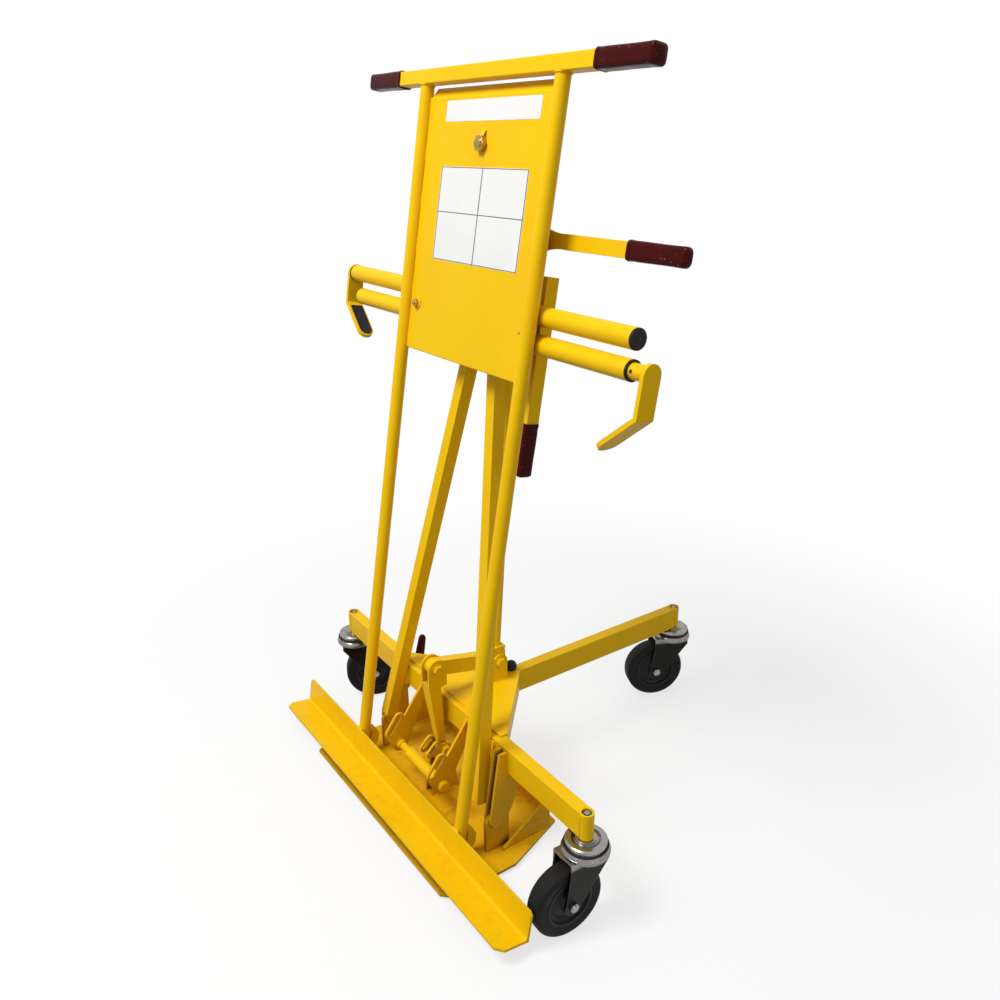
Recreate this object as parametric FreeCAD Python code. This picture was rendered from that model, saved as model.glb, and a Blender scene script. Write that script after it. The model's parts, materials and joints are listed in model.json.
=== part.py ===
import FreeCAD, Part
import math
import os

# Door dolly: a leaning mast with a door shelf, hung on a tripod that stands on a T-frame with three casters.
# Lengths in mm. X along the shelf, Y to the rear, Z up, floor at Z = 0.

V = FreeCAD.Vector

# Driving dimensions: casters and T-frame
CASTER_H = 184.2
HEAD_H = 27.2
WHEEL_GAP = 16.0
TREAD_H = 23.0
TYRE_W = 38.0
TRAIL = 43.0
STEM_X = 437.0
LEG_Y = 652.0
BAR_H = 50.8
BAR_D = 25.4
BAR_WALL = 2.5
SOCKET_R = 13.2
STEM_R = 9.5
HEAD_R = 44.0
SWIVEL_LEFT = 66.0
SWIVEL_RIGHT = -93.0
SWIVEL_REAR = -115.0

# Driving dimensions: mast
LEAN = 9.16
MAST_SET = -101.8
HEEL_Z = 26.3
SHELF_L = 886.0
SHELF_W = 60.0
SHELF_T = 5.0
TUBE_X = 196.6
TUBE_R = 12.7
TUBE_WALL = 2.0
BAR_S = 1404.0
BAR_SQ = 25.4
BAR_HALF = 388.0
GRIP_L = 122.0
GRIP_T = 2.3
PANEL_N = 20.0
PANEL_T = 3.0
PANEL_S0 = 915.0
PANEL_S1 = 1368.0
FOLD_N = 34.0
FOLD_S = 1388.0
APEX_S = 1291.0

# Driving dimensions: door arms and hooks
ARM_R = 17.0
ARM_BORE_R = 13.3
INNER_R = 12.7
INNER_BORE_R = 10.7
ARM_UP_S = 1029.0
ARM_STEP = 46.0
ARM_UP_X0 = -467.0
ARM_UP_X1 = 413.5
ARM_LOW_X0 = -434.0
ARM_LOW_X1 = 414.0
INNER_L = 340.0
HOOK_W = 35.0
HOOK_T = 8.0
HOOK_DROP = 64.5
HOOK_IN = 76.5
HOOK_DOWN = 63.0
PAD_T = 2.0

# Driving dimensions: tripod
BRACE_SQ = 25.4
BRACE_N0 = 67.0
BRACE_N1 = 81.5
BRACE_S0 = 95.0
BRACE_X0 = 180.0
BRACE_TOP_S = 1181.0
STRUT_R = 11.0
LUG_Y = 114.0
LUG_UP = 46.0
STRUT_TOP_S = 1165.0
STRUT_TOP_N = 113.0

# Driving dimensions: levers
HUB_X = 112.0
HUB_S = 1150.0
HUB_R = 32.0
CAM_E = 14.0
CAM_R = 28.0
LEVER_END_X = 471.0
CLAMP_SQ = 25.4
CLAMP_X = 150.0
CLAMP_N = 82.0
CLAMP_RISE = 43.0
CLAMP_END_S = 742.0
CLAMP_GRIP_L = 99.0

# Driving dimensions: floor plate and its linkage
PLATE_Z = 6.0
PLATE_T = 6.0
PLATE_TRAVEL = 6.0
PLATE_HALF = 272.0
PLATE_Y0 = -188.0
PLATE_Y1 = 108.0
GUIDE_X = 200.0
GUIDE_LEFT_X = 190.0
GUIDE_T = 6.0
TONGUE_T = 10.0
CLEVIS_Y = -37.0
CLEVIS_UP = 80.0
PIVOT_Y = -24.0
PIVOT_Z = 116.0
ROD_Y = -77.0
ROD_Z = 97.0
ROD_R = 12.7
ROD_PIN_R = 8.0
ROD_TUBE_X = -42.0
BRACKET_X = 85.0
PEDAL_Y = 4.0
PEDAL_DROP = 64.2
PEDAL_KNEE_Y = 60.0
PEDAL_KNEE_UP = 56.0
PEDAL_TIP_Y = 72.0
PEDAL_TIP_UP = 116.0
PEDAL_TURN = 24.0
BOLT_R = 6.0

# Named clearances
RUN = 0.05
SEAT = 0.15
GAP = 0.5
LOOSE = 0.4

# Derived positions
FRAME_Z = CASTER_H + BAR_H
WHEEL_D = CASTER_H - HEAD_H - WHEEL_GAP
CORE_D = WHEEL_D - 2 * TREAD_H
HEEL_Y = MAST_SET - CASTER_H * math.tan(math.radians(LEAN))
LUG_Z = FRAME_Z + LUG_UP
CLEVIS_Z = FRAME_Z + CLEVIS_UP
PEDAL_Z = CASTER_H - PEDAL_DROP
PEDAL_KNEE_Z = PEDAL_Z + PEDAL_KNEE_UP
PEDAL_TIP_Z = PEDAL_Z + PEDAL_TIP_UP
BAR_Y = BAR_D / 2
TUBE_N = SHELF_T + TUBE_R + SEAT
ARM_N = TUBE_N + TUBE_R + SEAT + ARM_R
ARM_LOW_S = ARM_UP_S - ARM_STEP
CLAMP_S = ARM_UP_S + CLAMP_RISE
PANEL_BACK = PANEL_N + PANEL_T
PLATE_TOP = PLATE_Z + PLATE_T
FRONT_Y = HEEL_Y - SHELF_W * math.cos(math.radians(LEAN))
SHIFT_Y = -(FRONT_Y + LEG_Y + HEAD_R) / 2

os.makedirs("parts", exist_ok=True)


# Helpers for plain solids
def box(x0, x1, y0, y1, z0, z1):
    """Box between two corners."""
    return Part.makeBox(x1 - x0, y1 - y0, z1 - z0, V(x0, y0, z0))


def rod(p, d, r, length):
    """Cylinder of radius r from p along d."""
    return Part.makeCylinder(r, length, V(*p), V(*d))


def pipe(p, d, r_out, r_in, length):
    """Tube from p along d."""
    return rod(p, d, r_out, length).cut(rod(p, d, r_in, length))


def prism(points, normal, start, depth):
    """Polygon in the plane across one axis, given as pairs of the other two axes, extruded along that axis."""
    if normal == "x":
        pts = [V(start, a, b) for a, b in points]
        along = V(depth, 0, 0)
    elif normal == "y":
        pts = [V(a, start, b) for a, b in points]
        along = V(0, depth, 0)
    else:
        pts = [V(a, b, start) for a, b in points]
        along = V(0, 0, depth)
    return Part.Face(Part.makePolygon(pts + pts[:1])).extrude(along)


def fuse(first, *others):
    """Union of solids with merged faces."""
    return first.multiFuse(list(others)).removeSplitter()


def cut(first, *others):
    """First solid less the others."""
    for other in others:
        first = first.cut(other)
    return first


def hex_prism(p, d, flats, length):
    """Hexagonal bolt head or nut from p along the X or Y axis d."""
    r = flats / math.sqrt(3)
    ring = [(r * math.cos(math.radians(60 * i)), r * math.sin(math.radians(60 * i))) for i in range(7)]
    if d[0]:
        pts = [V(p[0], p[1] + a, p[2] + b) for a, b in ring]
    else:
        pts = [V(p[0] + a, p[1], p[2] + b) for a, b in ring]
    return Part.Face(Part.makePolygon(pts)).extrude(V(*d) * length)


def hull_plate(a, ra, b, rb, normal, start, depth):
    """Plate outlined by two circles and their outer tangents, in the plane across one axis."""
    dist = math.hypot(b[0] - a[0], b[1] - a[1])
    ang = math.atan2(b[1] - a[1], b[0] - a[0])
    off = math.acos((ra - rb) / dist)
    pts = []
    for centre, r, sign in ((a, ra, 1), (b, rb, 1), (b, rb, -1), (a, ra, -1)):
        t = ang + sign * off
        pts.append((centre[0] + r * math.cos(t), centre[1] + r * math.sin(t)))
    body = prism(pts, normal, start, depth)
    ends = []
    for centre, r in ((a, ra), (b, rb)):
        if normal == "x":
            ends.append(rod((start, centre[0], centre[1]), (1, 0, 0), r, depth))
        elif normal == "y":
            ends.append(rod((centre[0], start, centre[1]), (0, 1, 0), r, depth))
        else:
            ends.append(rod((centre[0], centre[1], start), (0, 0, 1), r, depth))
    return fuse(body, *ends)


def mirror_x(shape):
    """Mirror image across the middle plane."""
    return shape.mirror(V(0, 0, 0), V(1, 0, 0))


def on_mast(shape):
    """Carry a shape drawn upright, with Y as depth and Z as height up the mast, into the leaning mast."""
    out = shape.copy()
    leaning = FreeCAD.Placement(V(0, HEEL_Y, HEEL_Z), FreeCAD.Rotation(V(1, 0, 0), -LEAN))
    out.Placement = leaning.multiply(out.Placement)
    return out


def mast_point(x, n, s):
    """Frame position of a point given across, behind and up the mast."""
    lean = math.radians(LEAN)
    y = HEEL_Y + s * math.sin(lean) + n * math.cos(lean)
    return (x, y, HEEL_Z + s * math.cos(lean) - n * math.sin(lean))


def turned(shape, axis_point, axis, angle):
    """Copy of a shape turned about an axis."""
    out = shape.copy()
    out.rotate(V(*axis_point), V(*axis), angle)
    return out


def save(name, *solids):
    """Move the solids to the shared origin and write one node."""
    moved = []
    for solid in solids:
        piece = solid.copy()
        piece.translate(V(0, SHIFT_Y, 0))
        moved.append(piece)
    shape = moved[0] if len(moved) == 1 else Part.makeCompound(moved)
    shape.exportStep("parts/" + name + ".step")


def sleeve_grip(x0, x1, half, axis_y, axis_z, closed):
    """Soft grip along X over a square bar: rounded sleeve closed at one end, closed is -1 or 1."""
    outer = half + GRIP_T
    body = box(x0, x1, axis_y - outer, axis_y + outer, axis_z - outer, axis_z + outer)
    body = body.makeFillet(outer * 0.45, [e for e in body.Edges if abs(e.tangentAt(e.FirstParameter).x) > 0.9])
    tip = x1 if closed > 0 else x0
    rim = [e for e in body.Edges if abs(e.BoundBox.XMin - tip) < 0.01 and abs(e.BoundBox.XMax - tip) < 0.01]
    body = body.makeFillet(GRIP_T * 0.9, rim)
    inner = half + SEAT
    a = x0 - 1 if closed > 0 else x0 + 2 * GRIP_T
    b = x1 - 2 * GRIP_T if closed > 0 else x1 + 1
    return body.cut(box(a, b, axis_y - inner, axis_y + inner, axis_z - inner, axis_z + inner))


# Casters: stem in the socket, swivel fork, axle, wheel core and tyre
WHEEL_R = WHEEL_D / 2
CORE_R = CORE_D / 2
LEG_IN = TYRE_W / 2 + 2.5
LEG_T = 5.0
CROWN_Z = CASTER_H - HEAD_H
CROWN_T = 5.0
RACE_Z = CROWN_Z + CROWN_T + 10.0
KING_R = 8.0
AXLE_R = 6.0
FORK_BACK = 33.0
FORK_FRONT = 50.0


def revolve_z(points):
    """Solid of revolution about Z from radius and height pairs."""
    pts = [V(r, 0, z) for r, z in points]
    return Part.Face(Part.makePolygon(pts + pts[:1])).revolve(V(0, 0, 0), V(0, 0, 1), 360)


def wheel_ring(points, edge_radius):
    """Solid of revolution about the axle from radius and half-width pairs, with rounded outer shoulders."""
    pts = [V(TRAIL, w, WHEEL_R + r) for r, w in points]
    ring = Part.Face(Part.makePolygon(pts + pts[:1])).revolve(V(TRAIL, 0, WHEEL_R), V(0, 1, 0), 360)
    if edge_radius:
        top = max(r for r, w in points)
        rims = [e for e in ring.Edges if abs(e.BoundBox.ZMax - WHEEL_R - top) < 0.01 and e.Length > top]
        ring = ring.makeFillet(edge_radius, rims)
    return ring


def caster_stem():
    """King pin, dished race plate with a collar, and the stem that ends as a small pin inside the socket."""
    top = CASTER_H
    profile = [(0, CROWN_Z - 6), (12, CROWN_Z - 6), (12, CROWN_Z - GAP), (KING_R, CROWN_Z - GAP)]
    profile += [(KING_R, RACE_Z + GAP), (34, RACE_Z + GAP), (38, RACE_Z + 3), (38, top - 4)]
    profile += [(35, top - 2), (27, top - 2)]
    profile += [(22, top - 5), (19, top - 5), (19, top), (STEM_R, top), (STEM_R, FRAME_Z - 4)]
    profile += [(5.2, FRAME_Z - 4), (5.2, FRAME_Z), (0, FRAME_Z)]
    return revolve_z(profile)


def caster_fork():
    """Swivel crown with a domed ball race and two tapering legs down to the axle."""
    race = revolve_z([(KING_R + RUN, CROWN_Z), (HEAD_R, CROWN_Z), (HEAD_R, CROWN_Z + CROWN_T),
                      (HEAD_R - 3, CROWN_Z + 9), (HEAD_R - 9, RACE_Z), (KING_R + RUN, RACE_Z)])
    bridge = box(-FORK_BACK, FORK_FRONT, -LEG_IN - LEG_T, LEG_IN + LEG_T, CROWN_Z, CROWN_Z + CROWN_T)
    bore = rod((0, 0, 0), (0, 0, 1), KING_R + RUN, CASTER_H)
    legs = []
    for y in (LEG_IN, -LEG_IN - LEG_T):
        outline = [(-FORK_BACK, CROWN_Z + CROWN_T), (-FORK_BACK, CROWN_Z - 14), (TRAIL - 16, WHEEL_R - 5)]
        outline += [(TRAIL + 16, WHEEL_R - 4), (FORK_FRONT, CROWN_Z - 20), (FORK_FRONT, CROWN_Z + CROWN_T)]
        leg = fuse(prism(outline, "y", y, LEG_T), rod((TRAIL, y, WHEEL_R), (0, 1, 0), 17, LEG_T))
        legs.append(leg.cut(rod((TRAIL, y - 1, WHEEL_R), (0, 1, 0), AXLE_R + SEAT, LEG_T + 2)))
    return fuse(race, bridge.cut(bore), *legs)


def caster_axle():
    """Axle bolt with a hexagon head and a nut outside the fork legs."""
    reach = LEG_IN + LEG_T + SEAT
    shank = rod((TRAIL, -reach - 7, WHEEL_R), (0, 1, 0), AXLE_R, 2 * reach + 14)
    head = hex_prism((TRAIL, reach, WHEEL_R), (0, 1, 0), 16, 5)
    nut = hex_prism((TRAIL, -reach, WHEEL_R), (0, -1, 0), 16, 5)
    return fuse(shank, head, nut)


def wheel_core():
    """Moulded wheel centre: hub, smooth dish and a rim ring that stands out beside the tread."""
    hub = LEG_IN - 1
    half = TYRE_W / 2
    outer = [(AXLE_R + RUN, hub), (16, hub), (19, hub - 5), (CORE_R - 13, half - 9), (CORE_R - 7, half - 6),
             (CORE_R - 5, half - 1), (CORE_R, half - 1)]
    return wheel_ring([(r, -w) for r, w in outer] + outer[::-1], 0)


def tyre():
    """Rubber tread ring with rounded shoulders on the rim."""
    half = TYRE_W / 2
    inner = CORE_R + SEAT
    return wheel_ring([(inner, -half + 2), (WHEEL_R - 12, -half), (WHEEL_R, -half), (WHEEL_R, half),
                       (WHEEL_R - 12, half), (inner, half - 2)], 9)


CASTERS = {"left": (-STEM_X, 0, SWIVEL_LEFT), "right": (STEM_X, 0, SWIVEL_RIGHT),
           "rear": (0, LEG_Y, SWIVEL_REAR)}
CASTER_PIECES = {"fork": caster_fork(), "axle": caster_axle(), "core": wheel_core(), "tyre": tyre()}
stems = []
sockets = []
for side, (sx, sy, turn) in CASTERS.items():
    for piece, shape in CASTER_PIECES.items():
        placed = turned(shape, (0, 0, 0), (0, 0, 1), turn)
        placed.translate(V(sx, sy, 0))
        save("caster_" + side + "_" + piece, placed)
    stem = caster_stem()
    stem.translate(V(sx, sy, 0))
    stems.append(stem)
    sockets.append(pipe((sx, sy, CASTER_H + SEAT), (0, 0, 1), SOCKET_R, STEM_R + SEAT, BAR_H + 0.8))
save("caster_stems", *stems)
save("caster_sockets", *sockets)

# T-frame: crossbar, rear leg and the folded gusset on top
COPE = math.sqrt((SOCKET_R + SEAT) ** 2 - BAR_Y ** 2) - 0.1


def coped_bar(length, ends):
    """Rectangular tube along X from 0 to length, hollowed out round the sockets at the given stations."""
    bar = box(0, length, -BAR_Y, BAR_Y, CASTER_H + SEAT, FRAME_Z)
    bar = bar.cut(box(-1, length + 1, -BAR_Y + BAR_WALL, BAR_Y - BAR_WALL,
                      CASTER_H + SEAT + BAR_WALL, FRAME_Z - BAR_WALL))
    for x in ends:
        bar = bar.cut(rod((x, 0, 0), (0, 0, 1), SOCKET_R + SEAT, 2 * FRAME_Z))
    return bar


half_bar = STEM_X - COPE
crossbar = coped_bar(2 * half_bar, (-COPE, 2 * half_bar + COPE))
crossbar.translate(V(-half_bar, 0, 0))
save("crossbar", crossbar)

leg_len = LEG_Y - COPE - BAR_Y - SEAT
rear_leg = coped_bar(leg_len, (leg_len + COPE,))
rear_leg.rotate(V(0, 0, 0), V(0, 0, 1), 90)
rear_leg.translate(V(0, BAR_Y + SEAT, 0))
save("rear_leg", rear_leg)

GUS_X = 182.0
GUS_Y = 168.0
GUS_TIP = 18.0
GUS_SIDE = 15.0
GUS_T = 4.0
GUS_FLANGE = 42.0
gus_z = FRAME_Z + SEAT
outline = [(-GUS_X, 0), (GUS_X, 0), (GUS_X, GUS_SIDE), (GUS_TIP, GUS_Y), (-GUS_TIP, GUS_Y), (-GUS_X, GUS_SIDE)]
plate = prism(outline, "z", gus_z, GUS_T)
edge = V(GUS_TIP - GUS_X, GUS_Y - GUS_SIDE, 0)
unit = edge * (1 / edge.Length)
inward = V(-unit.y, unit.x, 0)
start = V(GUS_X, GUS_SIDE, 0) + unit * 4
stop = V(GUS_TIP, GUS_Y, 0) - unit * 9
corners = [start, stop, stop + inward * GUS_T, start + inward * GUS_T]
flange = prism([(p.x, p.y) for p in corners], "z", gus_z - GUS_FLANGE, GUS_FLANGE + 1)
save("top_gusset", fuse(plate, flange, mirror_x(flange)))

# Tripod: two braces in front of the crossbar, their clips, the apex plate and the rear strut
slope = BRACE_X0 / (BRACE_TOP_S - BRACE_S0)
tilt = math.degrees(math.atan(slope))
rake = math.degrees(math.atan((BRACE_N1 - BRACE_N0) / (BRACE_TOP_S - BRACE_S0)))
brace_len = 1.1 * (BRACE_TOP_S - BRACE_S0)
half_sq = BRACE_SQ / 2
inner_sq = half_sq - 2
brace = box(-half_sq, half_sq, -half_sq, half_sq, -30, brace_len)
brace = brace.cut(box(-inner_sq, inner_sq, -inner_sq, inner_sq, -31, brace_len + 1))
brace.rotate(V(0, 0, 0), V(0, 1, 0), -tilt)
brace.rotate(V(0, 0, 0), V(1, 0, 0), -rake)
brace.translate(V(BRACE_X0, BRACE_N0, BRACE_S0))
brace = brace.cut(box(-400, SEAT, 0, 200, 0, 2000))
brace = brace.cut(box(-400, 400, 0, 200, BRACE_TOP_S + 8, 2000))
brace = brace.cut(box(-400, 400, 0, 200, 0, BRACE_S0))
save("braces", on_mast(brace), on_mast(mirror_x(brace)))

CLIP_Z0 = CASTER_H + 4
CLIP_Z1 = FRAME_Z - 4


def brace_n(s):
    """Depth of the brace's middle behind the mast at a height up the mast."""
    return BRACE_N0 + (BRACE_N1 - BRACE_N0) * (s - BRACE_S0) / (BRACE_TOP_S - BRACE_S0)


def brace_back_y(z):
    """Depth of the brace's rear face at a height above the floor."""
    lean = math.radians(LEAN)
    n = brace_n(z) + half_sq + SEAT
    s = (z - HEEL_Z + n * math.sin(lean)) / math.cos(lean)
    n = brace_n(s) + half_sq + SEAT
    return HEEL_Y + s * math.sin(lean) + n * math.cos(lean)


clip_x = BRACE_X0 - slope * ((CLIP_Z0 + CLIP_Z1) / 2 - HEEL_Z - BRACE_S0)
clip = prism([(-BAR_Y - SEAT, CLIP_Z0), (-BAR_Y - SEAT, CLIP_Z1), (brace_back_y(CLIP_Z1), CLIP_Z1),
              (brace_back_y(CLIP_Z0), CLIP_Z0)], "x", clip_x - 16, 32)
save("brace_clips", clip, mirror_x(clip))

APEX_S0 = 1096.0
APEX_N1 = brace_n(APEX_S0) - half_sq - SEAT
APEX_N0 = APEX_N1 - 7
APEX_BOLT_R = 8.0
apex = fuse(box(-38, 38, APEX_N0, APEX_N1, APEX_S0, APEX_S), rod((0, APEX_N0, APEX_S), (0, 1, 0), 38, 7))
apex = apex.cut(rod((0, APEX_N0 - 1, APEX_S), (0, 1, 0), APEX_BOLT_R + RUN, 20))
boss = pipe((0, PANEL_BACK + GAP, APEX_S), (0, 1, 0), 17, APEX_BOLT_R + RUN, APEX_N0 - PANEL_BACK - GAP)
rad = math.hypot(HUB_X, APEX_S - HUB_S)
cam_x = HUB_X + CAM_E * HUB_X / rad
cam_s = HUB_S - CAM_E * (APEX_S - HUB_S) / rad
cam_ang = math.degrees(math.atan2(APEX_S - HUB_S, HUB_X))
TILT_N0 = APEX_N0 - 6.5
arm = hull_plate((0, APEX_S - 100), 34, (cam_x, cam_s), 44, "y", TILT_N0, 6.5)
window = hull_plate((cam_x - 3, cam_s), CAM_R + LOOSE, (cam_x + 3, cam_s), CAM_R + LOOSE, "y", TILT_N0 - 1, 9)
window = turned(window, (cam_x, 0, cam_s), (0, 1, 0), cam_ang)
arm = arm.cut(window)
apex_plate = fuse(apex, boss, arm)

EAR_IN = 9.5
EAR_T = 5.0
pad_n = BRACE_N1 + half_sq + SEAT
pad = box(-44, 44, pad_n, pad_n + 5, APEX_S0, BRACE_TOP_S + 5)
ears = []
for x in (EAR_IN, -EAR_IN - EAR_T):
    ear = hull_plate((pad_n + 3, STRUT_TOP_S - 12), 14, (STRUT_TOP_N, STRUT_TOP_S), 14, "x", x, EAR_T)
    ear = ear.cut(box(-60, 60, 0, pad_n, 0, 2000))
    ears.append(ear.cut(rod((-60, STRUT_TOP_N, STRUT_TOP_S), (1, 0, 0), BOLT_R + SEAT, 120)))
save("apex_plates", on_mast(apex_plate), on_mast(fuse(pad, *ears)))

YOKE_IN = 10.8
YOKE_T = 5.0
CAP_Z = LUG_Z + 33
top = mast_point(0, STRUT_TOP_N, STRUT_TOP_S)
foot = (0, LUG_Y + 1, CAP_Z)
run = V(*top) - V(*foot)
tube = Part.makeCylinder(STRUT_R, run.Length - 12, V(*foot), run)
tube = tube.cut(Part.makeCylinder(STRUT_R - 2, run.Length - 40, V(*foot), run))
eye = rod((-EAR_IN + GAP, top[1], top[2]), (1, 0, 0), 13, 2 * (EAR_IN - GAP))
neck = box(-EAR_IN + GAP, EAR_IN - GAP, top[1] - 9, top[1] + 9, top[2] - 30, top[2])
tube = cut(tube, rod((-40, top[1], top[2]), (1, 0, 0), 22, 80))
cap = box(-YOKE_IN - YOKE_T, YOKE_IN + YOKE_T, LUG_Y - 14, LUG_Y + 16, CAP_Z - 5, CAP_Z + 1)
yoke = []
for x in (YOKE_IN, -YOKE_IN - YOKE_T):
    tongue = hull_plate((LUG_Y, LUG_Z), 16, (LUG_Y + 1, CAP_Z - 13), 15, "x", x, YOKE_T)
    tongue = tongue.cut(box(-60, 60, 0, 300, CAP_Z - 3, CAP_Z + 40))
    yoke.append(tongue.cut(rod((-60, LUG_Y, LUG_Z), (1, 0, 0), BOLT_R + SEAT, 120)))
strut = fuse(tube, eye, neck, cap, *yoke)
save("strut", strut.cut(rod((-60, top[1], top[2]), (1, 0, 0), BOLT_R + SEAT, 120)))


def cross_bolt(y, z, reach):
    """Hexagon bolt along X with a head and a nut beyond the reach on each side."""
    shank = rod((-reach - 10, y, z), (1, 0, 0), BOLT_R, 2 * reach + 18)
    head = hex_prism((reach, y, z), (1, 0, 0), 19, 8)
    washer = rod((reach, y, z), (1, 0, 0), 12.5, 2)
    nut = hex_prism((-reach, y, z), (-1, 0, 0), 19, 7)
    return fuse(shank, head, washer, nut)


frame_bolts = [cross_bolt(top[1], top[2], EAR_IN + EAR_T + SEAT)]

LUG_IN = YOKE_IN + YOKE_T + 0.3
LUG_T = 5.0
LUG_R = 18.0
lugs = []
for x in (LUG_IN, -LUG_IN - LUG_T):
    foot_z = gus_z + GUS_T + SEAT
    lug = fuse(box(x, x + LUG_T, LUG_Y - LUG_R, LUG_Y + LUG_R, foot_z, LUG_Z),
               rod((x, LUG_Y, LUG_Z), (1, 0, 0), LUG_R, LUG_T))
    lugs.append(lug.cut(rod((-60, LUG_Y, LUG_Z), (1, 0, 0), BOLT_R + SEAT, 120)))
save("rear_lug", *lugs)
frame_bolts.append(cross_bolt(LUG_Y, LUG_Z, LUG_IN + LUG_T + SEAT))

BUMP_R = 12.5
bump_y = LUG_Y + 43
bump_z = gus_z + GUS_T + SEAT
ball = Part.makeSphere(BUMP_R, V(0, bump_y, bump_z + BUMP_R - 5))
save("rubber_bumper", ball.cut(box(-30, 30, bump_y - 30, bump_y + 30, bump_z - 30, bump_z)))

# Fixed brackets and guides under the crossbar, with the cross rod
BRACKET_T = 6.0
SLOT_R = 6.5
SLOT_RIM = 4.5
NOSE_R = 19.0
slot_a = (ROD_Y - 23, ROD_Z + 31)
slot_b = (ROD_Y, ROD_Z + 63)
x0 = BRACKET_X - BRACKET_T / 2
nose = hull_plate((ROD_Y, ROD_Z), NOSE_R, slot_a, SLOT_R + SLOT_RIM, "x", x0, BRACKET_T)
rim = hull_plate(slot_a, SLOT_R + SLOT_RIM, slot_b, SLOT_R + SLOT_RIM + 0.01, "x", x0, BRACKET_T)
web = prism([(-BAR_Y - SEAT, FRAME_Z - 6), (-BAR_Y - SEAT, CASTER_H + 2), (ROD_Y + 14, ROD_Z - 12),
             (ROD_Y - 8, ROD_Z + 14), (ROD_Y - 11.5, ROD_Z + 47), (slot_b[0] + 7, slot_b[1] - 8)],
            "x", x0, BRACKET_T)
slot = hull_plate(slot_a, SLOT_R, slot_b, SLOT_R + 0.01, "x", x0 - 2, BRACKET_T + 4)
bracket = cut(fuse(nose, rim, web), slot, rod((0, ROD_Y, ROD_Z), (1, 0, 0), ROD_PIN_R + SEAT, 200))
save("rod_brackets", bracket, mirror_x(bracket))

rod_half = BRACKET_X + BRACKET_T / 2 + SEAT
tube_half = BRACKET_X - BRACKET_T / 2 - SEAT
cross = fuse(rod((-rod_half - 2, ROD_Y, ROD_Z), (1, 0, 0), ROD_PIN_R, 2 * rod_half + 4),
             rod((ROD_TUBE_X, ROD_Y, ROD_Z), (1, 0, 0), ROD_R, tube_half - ROD_TUBE_X),
             rod((-tube_half, ROD_Y, ROD_Z), (1, 0, 0), 12.5, 3),
             rod((-tube_half, ROD_Y, ROD_Z), (1, 0, 0), 10.5, 11))
heads = []
for sign in (1, -1):
    head = rod((sign * rod_half, ROD_Y, ROD_Z), (sign, 0, 0), 12.5, 9)
    end = sign * (rod_half + 9)
    rims = [e for e in head.Edges if abs(e.BoundBox.XMin - end) < 0.01 and abs(e.BoundBox.XMax - end) < 0.01]
    heads.append(head.makeFillet(5, rims))
save("cross_rod", fuse(cross, *heads))

toe = [(-18, 72), (-26, 66), (-44, 66), (-53, 82)]
guide_pts = [(-31, FRAME_Z - 3), (-BAR_Y - SEAT, FRAME_Z - 3), (-BAR_Y - SEAT, CASTER_H - SEAT),
             (11, CASTER_H - SEAT), (11, CASTER_H - 46), (-1, 104)] + toe
guide_left_pts = [(-22, CASTER_H - SEAT), (11, CASTER_H - SEAT), (11, CASTER_H - 36), (-9, CASTER_H - 46),
                  (-9, 104)] + toe + [(-53, 94), (-35, 98)]
notch = rod((-300, -13, 82), (1, 0, 0), 11, 600)
GUIDE_STEP = GUIDE_T + TONGUE_T + 2 * GAP
guides = [prism(guide_pts, "x", x, GUIDE_T).cut(notch) for x in (GUIDE_X, GUIDE_X + GUIDE_STEP)]
for x in (GUIDE_LEFT_X, GUIDE_LEFT_X + GUIDE_STEP):
    guides.append(mirror_x(prism(guide_left_pts, "x", x, GUIDE_T).cut(notch)))

PEDAL_X0 = -236.0
PEDAL_X1 = -228.0
HANGER_X = PEDAL_X1 + 5
hanger = fuse(box(HANGER_X, HANGER_X + GUIDE_T, PEDAL_Y - 14, PEDAL_Y + 14, PEDAL_Z, CASTER_H - SEAT),
              rod((HANGER_X, PEDAL_Y, PEDAL_Z), (1, 0, 0), 14, GUIDE_T))
hanger = hanger.cut(rod((HANGER_X - 1, PEDAL_Y, PEDAL_Z), (1, 0, 0), BOLT_R + SEAT, GUIDE_T + 2))
save("guide_plates", *guides, hanger)

# Floor plate with gussets, tongues in the guides, centre lug and the pedal's yoke post
taper_y = -28.0
rear_half = 222.0
pts = [(-PLATE_HALF, PLATE_Y0 + 4), (-PLATE_HALF + 4, PLATE_Y0), (PLATE_HALF - 20, PLATE_Y0),
       (PLATE_HALF, PLATE_Y0 + 20), (PLATE_HALF, taper_y), (rear_half, PLATE_Y1), (-rear_half, PLATE_Y1),
       (-PLATE_HALF, taper_y)]
floor = prism(pts, "z", PLATE_Z, PLATE_T)
lip = box(-200, 200, PLATE_Y1 - 6, PLATE_Y1, PLATE_TOP - 1, PLATE_TOP + 30)
save("floor_plate", fuse(floor, lip))

base = PLATE_TOP + SEAT
gusset = prism([(-28, base), (84, base), (84, 62), (72, 78), (64, 78), (-28, base + 5)], "x", 227, 6)

tongue = prism([(-58, base), (-5, base), (-5, 142), (-12, 150), (-24, 150), (-30, 142), (-33, 100), (-52, 90),
                (-58, 80)], "x", 0, TONGUE_T)
tongues = [tongue.copy(), tongue.copy()]
tongues[0].translate(V(GUIDE_X + GUIDE_T + GAP, 0, 0))
tongues[1].translate(V(-GUIDE_LEFT_X - GUIDE_T - GAP - TONGUE_T, 0, 0))
save("floor_uprights", gusset, mirror_x(gusset), *tongues)

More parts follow.
